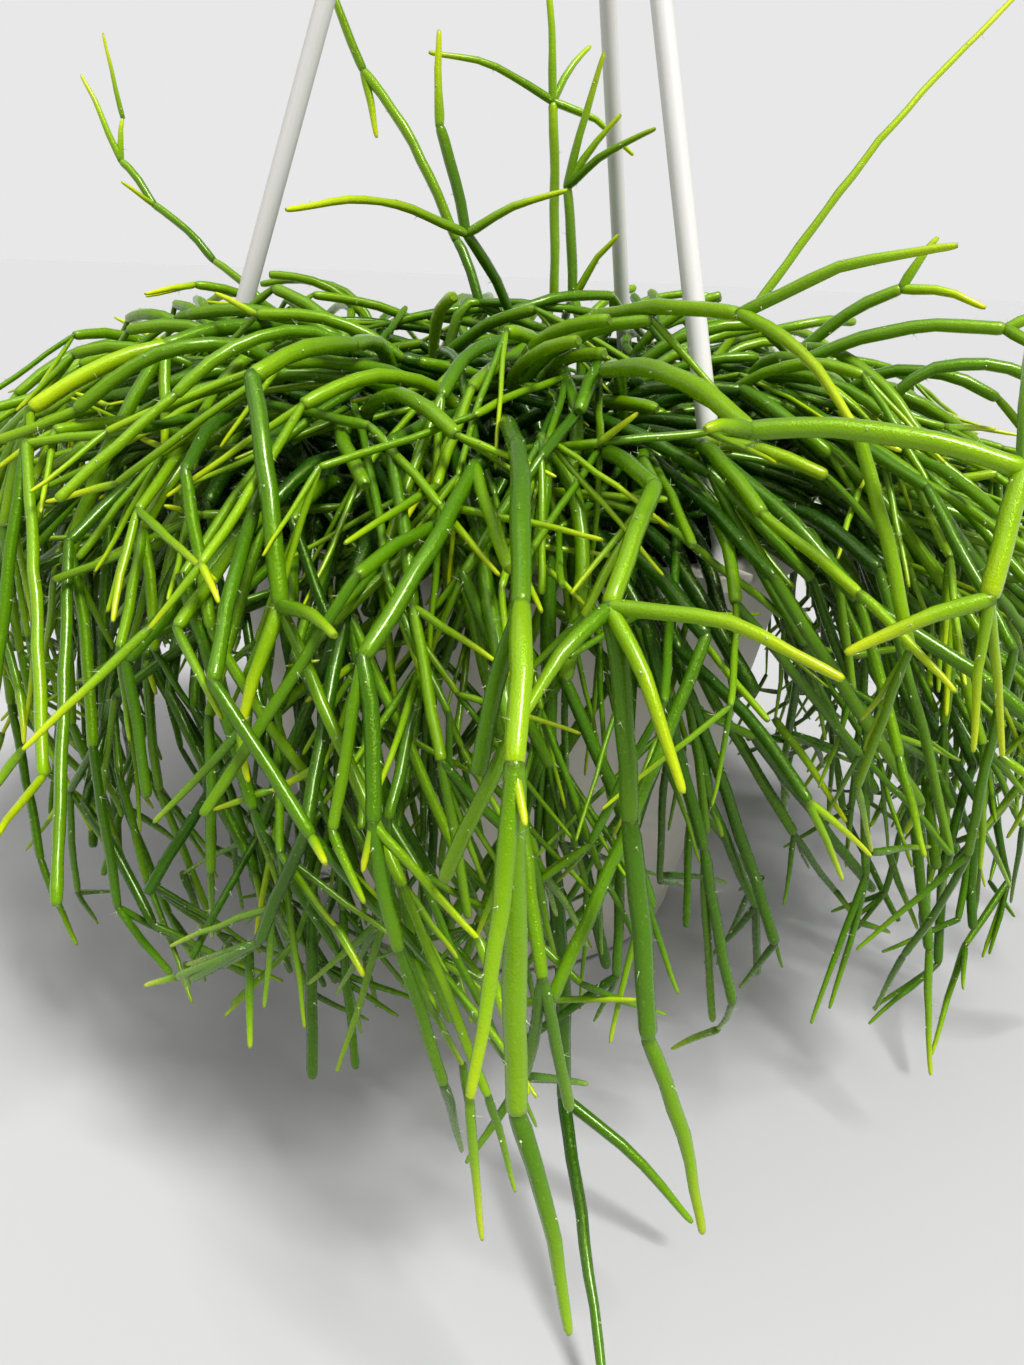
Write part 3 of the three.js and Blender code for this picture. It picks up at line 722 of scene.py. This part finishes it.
def plantLeader(leader, spray):
    root, radius, joints = leader["root"], leader["radius"], leader["joints"]
    foot = around(*root, soil["top"] - soil["holeDepth"] + gap)
    base = around(*root, soil["top"] + soil["crown"] + stem["rise"])
    above = (*mix(base, joints[0], leaderWays["overShare"])[:2], joints[0][2] + leaderWays["overBy"])
    shoot = {"spray": spray, "out": root[0], **leaderWays["shoot"]}
    riser = [foot, *curved(base, above, joints[0], stem["rootSteps"])]
    chain = [addRod(newRod(riser, radius, 0, None, shoot))]

    def lengthTo(joint, to, young):
        start = joints[joint]
        middle = add(mix(start, to, 0.5), (0, 0, leaderWays["bow"] * size(sub(to, start))))
        points = curved(start, middle, to, leaderWays["tipSteps" if young else "steps"])
        own = leaderWays["tipRadius"] * radius if young else radius
        return addRod(newRod(points, own, joint + 1, chain[joint], shoot, young))

    for i in range(1, len(joints)):
        chain.append(lengthTo(i - 1, joints[i], i == len(joints) - 1 and not leader.get("grows")))
    for joint, to in leader["forks"]:
        lengthTo(joint, to, True)
    if leader.get("grows"):
        growFrom(chain[-1], numbers(leaderWays["seed"] + spray))


def armAzimuth(k):
    return hanger["firstArm"] + (360 * k) / hanger["arms"]


def armPoints(k):
    top = hanger["topHeight"] + hanger["seatDepth"] - gap
    places = ((lug["eyeOut"], pot["height"] + 1.5), (lug["eyeOut"] - 0.6, pot["height"] + 8),
              (lug["eyeOut"] - 5.5, pot["height"] + 20), (hanger["topOut"] + 1.6, hanger["topHeight"] - 15),
              (hanger["topOut"], hanger["topHeight"] - 5), (hanger["topOut"], top))
    return [around(out, armAzimuth(k), z) for out, z in places]


for k in range(hanger["arms"]):
    keepInMind(withBounds({"points": armPoints(k), "radius": hanger["radius"]}))
    eye = [around(lug["eyeOut"], armAzimuth(k), z) for z in lug["eyeHeights"]]
    keepInMind(withBounds({"points": eye, "radius": lug["eyeRadius"]}))
fixedRods = spheres["count"]
for i, leader in enumerate(leaders):
    plantLeader(leader, i)
others = stem["sprays"] - len(leaders)
for i in range(others):
    plantSpray(len(leaders) + i, i, others)
solidRods = len(rods)
print("stage: main stems grown,", solidRods)


# finer stems between the main ones, each with the spray it is rooted nearest to

infill = {"seed": 5000, "count": 760, "air": -0.9, "slim": (0.62, 0.88), "pull": 0.6, "above": 40,
          "reach": (130, 192), "rootOut": (6, 90), "allRound": 0.6, "frontMiddle": -90, "frontSpread": 130,
          "edge": (0.1, 0.62), "lean": (34, 72), "vigour": (0.8, 1.05), "swirl": 1.3, "length": (56, 100)}


def finerWays(random):  # what a finer shoot and its branches keep to
    return {"slim": between(infill["slim"], random()), "pull": infill["pull"],
            "above": infill["above"] * random(), "reach": between(infill["reach"], random())}


def plantInfill(number, roots):
    random = numbers(infill["seed"] + number)
    for i in range(branching["attempts"]):
        out = between(infill["rootOut"], math.sqrt(random()))
        if random() < infill["allRound"]:
            azimuth = 360 * random()
        else:
            azimuth = infill["frontMiddle"] + infill["frontSpread"] * (random() - 0.5)
        swirl = radians(infill["swirl"] * dome["swirl"] * (2 * random() - 1))
        foot = around(out, azimuth, 0)
        spray = min(roots, key=lambda r: math.hypot(r[1][0] - foot[0], r[1][1] - foot[1]))[0]
        edge = between((out, skirtAt(azimuth)[0]), between(infill["edge"], random()))
        shoot = {"spray": spray, "out": out, "edge": edge, "lean": between(infill["lean"], random()),
                 "hang": between(dome["hang"], random()), "vigour": between(infill["vigour"], random()),
                 "swirl": (math.cos(swirl), math.sin(swirl)), **finerWays(random)}
        rod = rootShoot(shoot, azimuth, between(infill["length"], random()), infill["air"])
        if rod:
            growFrom(rod, random, infill["air"])
            return


sideLength = {"seed": 77, "count": 800, "mostBeside": 3}


def addSideLengths():
    random = numbers(sideLength["seed"])
    for i in range(sideLength["count"]):
        parent = rods[int(random() * len(rods))]
        generation = min(parent["generation"] + 1 + int(2 * random()), len(growth))
        if parent["generation"] >= len(growth) or len(parent["children"]) > sideLength["mostBeside"]:
            continue
        side = growOne(parent, generation, branching["sideTurn"], random, infill["air"])
        if side:
            side["shoot"] = {**parent["shoot"], **finerWays(random)}
            growFrom(side, random, infill["air"])


def tryLength(kind, parent, wayFrom, shoot, random):
    for attempt in range(kind["tries"]):
        d = wayFrom(kind, parent, random)
        length = between(kind["length"], random() ** kind.get("mostlyShort", 1))
        radius = between(kind["radius"], random())
        points = archingLine(parent["points"][-1], d, length, kind["steps"], radius, shoot, kind["bend"])
        rod = newRod(points, radius, kind["generation"], parent, shoot)
        clear = max(p[2] for p in points) < kind["top"] and insideBox(points) and clearsPot(points, radius)
        if clear and isClear(rod, [parent, *parent["children"]], infill["air"]):
            return addRod(rod)
    return None


def anyWay(kind, parent, random):
    turn = radians(between(kind["turn"], random()))
    return turned(endHeading(parent["points"]), turn, 2 * math.pi * random())


def endsOf(kind):  # the lengths that end where such a length may start
    low, high = kind["startOut"]
    ends = [(rod, *rod["points"][-1]) for rod in rods if rod["generation"] < kind["startBefore"]]
    return [rod for rod, x, y, z in ends if z > kind["startAbove"] and low < math.hypot(x, y) < high]


crownArc = {"seed": 78, "count": 240, "tries": 24, "startBefore": 2, "startAbove": 165, "startOut": (-1, 120),
            "edge": (70, 160), "lean": 30, "turn": (30, 80), "length": (34, 64), "radius": (1.7, 2.1),
            "steps": 4, "bend": 0.026, "top": 216, "generation": 3, "growsOn": 0.7}


def addCrownArcs():  # short, strongly bent lengths over the middle of the plant
    random, starts = numbers(crownArc["seed"]), endsOf(crownArc)
    for i in range(crownArc["count"]):
        parent = starts[int(random() * len(starts))]
        shoot = {**parent["shoot"], "edge": between(crownArc["edge"], random()), "lean": crownArc["lean"]}
        rod = tryLength(crownArc, parent, anyWay, shoot, random)
        if rod and random() < crownArc["growsOn"]:
            growFrom(rod, random, infill["air"])


splayed = {"seed": 80, "count": 320, "tries": 6, "startBefore": 4, "startAbove": 110, "startOut": (70, 165),
           "pull": 0.5, "slant": (18, 58), "outward": 0.35, "length": (45, 90), "radius": (1.35, 1.75),
           "steps": 1, "bend": 0.003, "top": 200, "generation": 3}


def slantWay(kind, parent, random):
    x, y = parent["points"][-1][:2]
    out = math.hypot(x, y)
    slant = radians((1 if random() < 0.5 else -1) * between(kind["slant"], random()))
    outward, across = kind["outward"] * random(), math.sin(slant)
    return unit((outward * x / out - across * y / out, outward * y / out + across * x / out,
                 -math.cos(slant)))


def addSplayed():  # long lengths that leave the crown's edge slantwise and hang before the pot
    random, starts = numbers(splayed["seed"]), endsOf(splayed)
    for i in range(splayed["count"]):
        parent = starts[int(random() * len(starts))]
        shoot = {**parent["shoot"], "slim": between(infill["slim"], random()), "pull": splayed["pull"]}
        rod = tryLength(splayed, parent, slantWay, shoot, random)
        if rod:
            growFrom(rod, random, infill["air"])


tip = {"seed": 79, "count": 450, "tries": 6, "mostBeside": 2, "turn": (8, 52), "length": (9, 35),
       "mostlyShort": 1.6, "radius": (0.95, 1.2), "steps": 2, "bend": 0.005, "top": 400,
       "generation": 5}


def addTips():  # the bright new ends
    random = numbers(tip["seed"])
    for i in range(tip["count"]):
        parent = rods[int(random() * len(rods))]
        if parent["generation"] > 1 and len(parent["children"]) <= tip["mostBeside"]:
            rod = tryLength(tip, parent, anyWay, parent["shoot"], random)
            if rod:
                rod["young"] = rod["fresh"] = True


shootRoots = [(r["shoot"]["spray"], r["points"][0]) for r in rods if r["generation"] == 0]
for number in range(infill["count"]):
    plantInfill(number, shootRoots)
print("stage: infill shoots,", len(rods))
addCrownArcs()
addSplayed()
addSideLengths()
addTips()
print("stage: all stems grown,", len(rods))


# the shape of each length of stem

lengthShape = {
    "seed": 900,
    "stations": (0.0, 0.7, 1.8, 4.2),  # along each end, in millimetres
    "shortStations": (0.0, 0.7, 2.0),  # for a length shorter than the next value
    "short": 12,
    "divisions": 8,
    "step": 6.5,
    "startNeck": (0.72, 0.86, 0.94, 1.0),
    "endNeck": (0.62, 0.90, 0.98, 1.0),
    "overlap": 0.45,  # into the length before it, in radii
    "youngTaper": (0.5, 1.5),
    "body": 0.88,
    "swell": 0.05,
    "unevenness": 0.03,
    "sway": 0.22,
    "waves": (0.16, 0.34),
    "bend": 0.025,
    "rings": (1.0, 0.4),  # the dark rings' widths at the two ends
}


def alongLine(at, marks, line):  # the places on a line at given distances
    return np.stack([np.interp(at, marks, line[:, k]) for k in range(3)], axis=1)


def smoothPath(points, start):  # a smooth line through the points, finely divided
    p = np.array(points)
    p = np.vstack((2 * p[0] - p[1], p, 2 * p[-1] - p[-2]))
    fine = []
    for i in range(1, len(p) - 2):
        t = np.linspace(0, 1, lengthShape["divisions"] + 1)[:-1, None]
        a, b, c, d = p[i - 1], p[i], p[i + 1], p[i + 2]
        fine.append(0.5 * (2 * b + (c - a) * t + (2 * a - 5 * b + 4 * c - d) * t ** 2
                           + (3 * b - a - 3 * c + d) * t ** 3))
    fine.append(p[-2][None])
    fine = np.vstack(fine)
    way = unit(tuple(fine[1] - fine[0]))
    return np.vstack((fine[0] - np.array(way) * start, fine))


def stationsOf(total):
    ends = np.array(lengthShape["stations" if total > lengthShape["short"] else "shortStations"])
    inner = total - 2 * ends[-1]
    count = max(1, round(inner / lengthShape["step"]))
    middle = ends[-1] + inner * np.arange(1, count) / count
    return np.concatenate((ends, middle, total - ends[::-1]))


def shapeLength(rod, rng):
    fine = smoothPath(rod["points"], lengthShape["overlap"] * rod["radius"] if rod["parent"] else 0.0)
    steps = np.linalg.norm(np.diff(fine, axis=0), axis=1)
    travelled = np.concatenate(((0.0,), np.cumsum(steps)))
    total = travelled[-1]
    s = stationsOf(total)
    line = alongLine(s, travelled, fine)
    marks = lengthShape["stations"]
    profile = np.interp(s, marks, lengthShape["startNeck"])
    profile *= np.interp(total - s, marks, lengthShape["endNeck"])
    t = s / total
    if rod["young"]:
        taper, power = lengthShape["youngTaper"]
        profile *= 1 - taper * t ** power
    else:
        profile *= lengthShape["body"] + lengthShape["swell"] * np.sin(math.pi * t)
    profile *= 1 + lengthShape["unevenness"] * rng.normal(size=len(s))
    envelope = np.sin(math.pi * t)[:, None]
    phase, waves = rng.uniform(0, 2 * math.pi, 3), rng.uniform(*lengthShape["waves"], 3)
    bend = np.array(unit(tuple(rng.normal(size=3)))) * lengthShape["bend"] * total * rng.uniform(0.3, 1)
    line = line + envelope * (bend + lengthShape["sway"] * np.sin(phase + s[:, None] * waves))
    return line, profile * rod["radius"], t, s


# how old a length looks, from 0, dark and woody, to 1, a fresh tip
lengthAge = {
    "byGeneration": ((0.10, 0.20), (0.20, 0.30), (0.30, 0.40), (0.38, 0.50), (0.44, 0.56), (0.50, 0.62)),
    "leader": (0.36, 0.50),  # lengths that stand out in the light
    "young": (0.46, 0.80),
    "fresh": (0.56, 1.0),
    "spread": 0.07,
    "towardsTip": 1.5,
}
# painted light and shade: high, outer lengths are coloured lighter, low, inner ones darker, as where light
# falls
exposure = {"centre": (0.0, 0.0, 120.0), "alike": 0.98, "weight": 0.40, "heights": (30, 150), "high": 0.6,
            "shadeParts": (0.35, 0.65)}  # the shade value: partly tone at random, partly painted shade and light by how far out and high a length lies
areole = {"first": 4.0, "spacing": 9.5, "jitter": 0.3, "goldenTurn": 137.5, "sunk": 0.08, "size": (0.6, 1.2)}
bristle = {"most": 3, "chance": 0.62, "tilt": 0.45, "ahead": 0.35, "length": (0.7, 1.5)}


def acrossFrame(way):  # two directions across each row's way
    side = np.cross(way, np.where(np.abs(way[:, 2:]) < 0.9, (0.0, 0.0, 1.0), (1.0, 0.0, 0.0)))
    side /= np.linalg.norm(side, axis=1)[:, None]
    return side, np.cross(way, side)


def areolesOn(line, thick, s, rng):
    total = s[-1]
    count = int((total - areole["first"]) / areole["spacing"])
    if count < 1:
        return None
    spread = np.arange(count) + areole["jitter"] * rng.uniform(-1, 1, count)
    at = areole["first"] + areole["spacing"] * spread
    way = alongLine(at + 0.5, s, line) - alongLine(at - 0.5, s, line)
    way /= np.linalg.norm(way, axis=1)[:, None]
    side, other = acrossFrame(way)
    angle = np.radians(areole["goldenTurn"]) * np.arange(count) + rng.uniform(0, 2 * math.pi)
    out = side * np.cos(angle)[:, None] + other * np.sin(angle)[:, None]
    radius = np.interp(at, s, thick)
    return alongLine(at, s, line) + out * (radius - areole["sunk"])[:, None], out, way


def findExposure():  # how high each length lies, and how far out among those beside it, from 0 to 1, for the painted light and shade on its colour
    middles = np.array([rod["middle"] for rod in rods]) - exposure["centre"]
    far = np.linalg.norm(middles, axis=1)
    ways = middles / far[:, None]
    for i, rod in enumerate(rods):
        alike = ways @ ways[i] > exposure["alike"]
        outer = (far[alike] < far[i]).sum() / alike.sum()
        high = clamp((rod["middle"][2] - exposure["heights"][0]) / exposure["heights"][1], 0, 1)
        rod["exposure"] = (1 - exposure["high"]) * outer + exposure["high"] * high


def ageAlong(rod, t, rng):
    if rod.get("fresh"):
        ages = lengthAge["fresh"]
    elif rod["young"]:
        ages = lengthAge["young"]
    elif rod["shoot"]["spray"] < len(leaders) and rod["index"] < fixedRods + solidRods:
        ages = lengthAge["leader"]
    else:
        ages = lengthAge["byGeneration"][min(rod["generation"], 5)]
    # painted shade and light: lengths deep and low look older and darker, high and outer ones fresher and
    # lighter; the normal draw is tone at random
    shift = exposure["weight"] * (rod["exposure"] - 0.5) + lengthAge["spread"] * rng.normal()
    return np.clip(between(ages, t ** lengthAge["towardsTip"]) + shift, 0, 1)


def stemLines(spray):  # the lines and marks that the stem tree turns into stems, areoles and bristles
    rng = np.random.default_rng(lengthShape["seed"] + spray)
    points, edges, values = [], [], {"thick": [], "age": [], "shade": [], "ring": [], "kind": [], "grow": []}
    facing = []

    def keep(places, ways, **given):
        points.append(places)
        facing.append(ways)
        for name, stored in values.items():
            stored.append(np.broadcast_to(given.get(name, 0.0), len(places)).astype(float))

    marks = []
    byChance, byExposure = exposure["shadeParts"]
    firstRing, lastRing = lengthShape["rings"]
    for rod in rods:
        if rod["shoot"]["spray"] != spray:
            continue
        line, thick, t, s = shapeLength(rod, rng)
        age = ageAlong(rod, t, rng)
        start = sum(len(p) for p in points)
        # painted shade and light by exposure, partly tone at random
        shade = np.clip(byChance * rng.random() + byExposure * rod["exposure"], 0, 1)
        keep(line, np.tile((0.0, 0.0, 1.0), (len(line), 1)), thick=thick / 1000.0, age=age, shade=shade,
             ring=(s < firstRing) | (s > s[-1] - lastRing))
        order = np.arange(start, start + len(line))
        edges.append(np.stack((order[:-1], order[1:]), 1))
        found = areolesOn(line, thick, s, rng)
        if found:
            marks.append(found)
    for places, outs, ways in marks:
        keep(places, outs, kind=1.0, grow=rng.uniform(*areole["size"], len(places)))
        for k in range(bristle["most"]):
            chosen = rng.random(len(places)) < bristle["chance"]
            if not chosen.any():
                continue
            lean = outs[chosen] + bristle["tilt"] * rng.normal(size=(chosen.sum(), 3))
            lean += bristle["ahead"] * ways[chosen]
            lean /= np.linalg.norm(lean, axis=1)[:, None]
            keep(places[chosen], lean, kind=2.0, grow=rng.uniform(*bristle["length"], chosen.sum()))
    mesh = bpy.data.meshes.new("stemLines")
    mesh.from_pydata((np.vstack(points) / 1000.0).tolist(), np.vstack(edges).tolist(), [])
    for name, stored in values.items():
        mesh.attributes.new(name, "FLOAT", "POINT").data.foreach_set("value", np.concatenate(stored))
    ways = mesh.attributes.new("facing", "FLOAT_VECTOR", "POINT")
    ways.data.foreach_set("vector", np.vstack(facing).ravel())
    return mesh


# node trees that turn lines and marks into meshes

def newTree(name, **inputs):
    tree = bpy.data.node_groups.new(name, "GeometryNodeTree")
    tree.interface.new_socket("Geometry", in_out="INPUT", socket_type="NodeSocketGeometry")
    for label, value in inputs.items():
        kind = "NodeSocketInt" if isinstance(value, int) else "NodeSocketFloat"
        tree.interface.new_socket(label, in_out="INPUT", socket_type=kind).default_value = value
    tree.interface.new_socket("Geometry", in_out="OUTPUT", socket_type="NodeSocketGeometry")
    return tree, tree.nodes.new("NodeGroupInput"), tree.nodes.new("NodeGroupOutput")


def namedField(tree, name, kind="FLOAT"):
    return addNode(tree, "GeometryNodeInputNamedAttribute", data_type=kind, Name=name)


def isKind(tree, number):
    compare = addNode(tree, "FunctionNodeCompare", data_type="FLOAT", operation="EQUAL", B=number,
                      Epsilon=0.1)
    link(tree, namedField(tree, "kind"), compare, "A")
    return compare


def pointInstances(tree, source, shape, number):
    instances = addNode(tree, "GeometryNodeInstanceOnPoints")
    turn = addNode(tree, "FunctionNodeAlignRotationToVector", axis="Z")
    link(tree, namedField(tree, "facing", "FLOAT_VECTOR"), turn, "Vector", turn, instances, "Rotation",
         namedField(tree, "grow"), instances, "Scale", isKind(tree, number), instances, "Selection",
         source, instances, "Points", shape, instances, "Instance")
    return instances


def finished(tree, geometry, material, smooth=True):
    real = addNode(tree, "GeometryNodeRealizeInstances")
    shade = addNode(tree, "GeometryNodeSetShadeSmooth", **{"Shade Smooth": smooth})
    paint = addNode(tree, "GeometryNodeSetMaterial", Material=material)
    link(tree, geometry, real, "Geometry", real, shade, "Geometry", shade, paint, "Geometry")
    return paint


def makeStemTree():
    tree, given, made = newTree("stemTree", Sides=7, AreoleRadius=0.00028, AreoleHeight=0.00022,
                                BristleRadius=0.00005, BristleLength=0.0015)
    lines = addNode(tree, "GeometryNodeSeparateGeometry", domain="POINT")
    curves = addNode(tree, "GeometryNodeMeshToCurve")
    circle = addNode(tree, "GeometryNodeCurvePrimitiveCircle", Radius=1.0)
    tube = addNode(tree, "GeometryNodeCurveToMesh", **{"Fill Caps": True})
    bump, hair = (addNode(tree, "GeometryNodeMeshCone", **{"Vertices": sides, "Radius Top": 0.0})
                  for sides in (5, 3))
    both = addNode(tree, "GeometryNodeJoinGeometry")
    link(tree, given, lines, "Geometry", isKind(tree, 0.0), lines, "Selection", lines, curves, "Mesh",
         curves, tube, "Curve", given.outputs["Sides"], circle, "Resolution", circle, tube, "Profile Curve",
         namedField(tree, "thick"), tube, "Scale",
         given.outputs["AreoleRadius"], bump, "Radius Bottom", given.outputs["AreoleHeight"], bump, "Depth",
         given.outputs["BristleRadius"], hair, "Radius Bottom", given.outputs["BristleLength"], hair, "Depth",
         finished(tree, pointInstances(tree, given, bump, 1.0), paleBristle), both, "Geometry",
         finished(tree, pointInstances(tree, given, hair, 2.0), paleBristle), both, "Geometry",
         finished(tree, tube, stemGreen), both, "Geometry", both, made, "Geometry")
    return tree


def grown(mesh, tree, **values):  # the plain mesh that a tree makes of a mesh
    carrier = newObject("carrier", mesh)
    modifier = carrier.modifiers.new("grow", "NODES")
    modifier.node_group = tree
    for label, value in values.items():
        modifier[tree.interface.items_tree[label].identifier] = value
    result = bpy.data.meshes.new_from_object(carrier.evaluated_get(bpy.context.evaluated_depsgraph_get()))
    bpy.data.objects.remove(carrier)
    bpy.data.meshes.remove(mesh)
    return result


findExposure()
stemTree = makeStemTree()
for spray in range(stem["sprays"]):
    if spray < len(leaders):
        node = "shoot_" + leaders[spray]["name"]
    else:
        node = f"spray_{spray - len(leaders) + 1:02d}"
    asPiece("stems_" + node, grown(stemLines(spray), stemTree), None, "stem_green", node)
print("stage: stems made")


# soil

soilLook = {"radius": 0.0930, "floor": 0.00335, "bottomRadius": 0.0638, "low": 0.1378, "crown": 0.0042,
            "rings": 26, "sides": 96, "bumps": 0.0016, "bumpScale": 90, "crumbs": 2400, "perlite": 120,
            "crumbsAbove": 0.1379, "crumbSizes": ((0.35, 0.3, 0.25), (1.3, 1.0, 0.8)), "seed": 7}


def soilMesh():
    rings, sides = soilLook["rings"], soilLook["sides"]
    points = [(0.0, 0.0, soilLook["low"] + soilLook["crown"])]
    for i in range(1, rings + 1):
        share = i / rings
        for k in range(sides):
            angle = 2 * math.pi * k / sides
            x, y = (soilLook["radius"] * share * f(angle) for f in (math.cos, math.sin))
            spot = Vector((x, y, 0.3)) * soilLook["bumpScale"]
            bumps = noise.fractal(spot, 1.0, 2.0, 4) * soilLook["bumps"]
            crown = soilLook["crown"] * (1 - share ** 2) + bumps * (1 - share ** 8)
            points.append((x, y, soilLook["low"] + crown))
    for k in range(sides):
        angle = 2 * math.pi * k / sides
        x, y = (soilLook["bottomRadius"] * f(angle) for f in (math.cos, math.sin))
        points.append((x, y, soilLook["floor"]))
    points.append((0.0, 0.0, soilLook["floor"]))
    faces = [(0, 1 + k, 1 + (k + 1) % sides) for k in range(sides)]
    for i in range(rings):
        a, b = 1 + i * sides, 1 + (i + 1) * sides
        faces += [(a + k, b + k, b + (k + 1) % sides, a + (k + 1) % sides) for k in range(sides)]
    last, low = len(points) - 1, 1 + rings * sides
    faces += [(last, low + (k + 1) % sides, low + k) for k in range(sides)]
    mesh = bpy.data.meshes.new("soil")
    mesh.from_pydata(points, [], faces)
    return mesh


def makeSoilTree():
    tree, given, made = newTree("soilTree", Crumbs=2000, Perlite=100, Seed=1, CrumbRadius=0.0013)
    top = addNode(tree, "FunctionNodeCompare", data_type="FLOAT", operation="GREATER_THAN",
                  B=soilLook["crumbsAbove"])
    split = addNode(tree, "ShaderNodeSeparateXYZ")
    parts = addNode(tree, "GeometryNodeJoinGeometry")
    link(tree, addNode(tree, "GeometryNodeInputPosition"), split, "Vector", split.outputs["Z"], top, "A",
         finished(tree, given, soilBrown), parts, "Geometry")
    least, most = soilLook["crumbSizes"]
    for label, offset, material in (("Crumbs", 0, soilBrown), ("Perlite", 50, perliteWhite)):
        spread = addNode(tree, "GeometryNodeDistributePointsOnFaces", distribute_method="RANDOM")
        perArea = addNode(tree, "ShaderNodeMath", operation="DIVIDE")
        perArea.inputs[1].default_value = math.pi * soilLook["radius"] ** 2
        seed = addNode(tree, "ShaderNodeMath", operation="ADD")
        seed.inputs[1].default_value = offset
        ball = addNode(tree, "GeometryNodeMeshIcoSphere", Subdivisions=1)
        turn = addNode(tree, "FunctionNodeRandomValue", data_type="FLOAT_VECTOR", Max=(6.28, 6.28, 6.28))
        rotation = addNode(tree, "FunctionNodeEulerToRotation")
        crumbSize = addNode(tree, "FunctionNodeRandomValue", data_type="FLOAT_VECTOR", Min=least, Max=most)
        instances = addNode(tree, "GeometryNodeInstanceOnPoints")
        link(tree, given, spread, "Mesh", top, spread, "Selection", given.outputs[label], perArea, 0,
             perArea, spread, "Density", given.outputs["Seed"], seed, 0, seed, spread, "Seed",
             given.outputs["CrumbRadius"], ball, "Radius", ball, instances, "Instance",
             spread, instances, "Points", turn, rotation, "Euler", rotation, instances, "Rotation",
             crumbSize, instances, "Scale",
             finished(tree, instances, material, False), parts, "Geometry")
    link(tree, parts, made, "Geometry")
    return tree


soilTree = makeSoilTree()
asPiece("pottingSoil", grown(soilMesh(), soilTree, Crumbs=soilLook["crumbs"], Perlite=soilLook["perlite"],
                             Seed=soilLook["seed"]), None, "soil", "soil")
print("stage: soil made")


# floor, sky and lights

studio = {
    "floorRadius": 8.0,
    "floorHeight": -0.0004,
    "floorColour": (0.42, 0.42, 0.42),
    "floorClouds": 3.0,
    "floorLighter": 1.01,
    "horizon": 0.807,
    "zenith": 0.20,
    "skyHeights": (0.18, 0.45),
    "suns": (((0.42, -0.42, 1.0), 4.4, 16.0), ((-0.35, -0.20, 1.0), 1.35, 60.0)),
}


def makeFloor():
    mesh = bpy.data.meshes.new("floor")
    work = bmesh.new()
    bmesh.ops.create_circle(work, cap_ends=True, segments=96, radius=studio["floorRadius"])
    for vertex in work.verts:
        vertex.co.z = studio["floorHeight"]
    work.to_mesh(mesh)
    work.free()
    material, tree, shader, coords = newMaterial("floorPaper")
    lighter = tuple(c * studio["floorLighter"] for c in studio["floorColour"])
    clouds = noiseOf(tree, coords, studio["floorClouds"])
    link(tree, mixOf(tree, clouds, studio["floorColour"], lighter), shader, "Base Color")
    shader.inputs["Roughness"].default_value = 0.9
    shader.inputs["Specular IOR Level"].default_value = 0.1
    floor = newObject("floor", mesh)
    floor.data.materials.append(material)


def makeSky():
    world = bpy.data.worlds.new("studio")
    bpy.context.scene.world = world
    world.use_nodes = True
    tree = world.node_tree
    coords = tree.nodes.new("ShaderNodeTexCoord")
    split = tree.nodes.new("ShaderNodeSeparateXYZ")
    link(tree, coords.outputs["Generated"], split, "Vector")
    greys = [(height, (studio[name],) * 3)
             for height, name in zip(studio["skyHeights"], ("horizon", "zenith"))]
    link(tree, rampOf(tree, split.outputs["Z"], greys), tree.nodes["Background"], "Color")


def makeSun(name, place, strength, angle):
    data = bpy.data.lights.new(name, "SUN")
    data.energy = strength
    data.angle = math.radians(angle)
    newObject(name, data).matrix_world = Vector(place).to_track_quat("Z", "Y").to_matrix().to_4x4()


bpy.context.scene.view_settings.view_transform = "Standard"
makeFloor()
makeSky()
for number, (place, strength, angle) in enumerate(studio["suns"]):
    makeSun(f"sun{number + 1}", place, strength, angle)
print("stage: studio made")
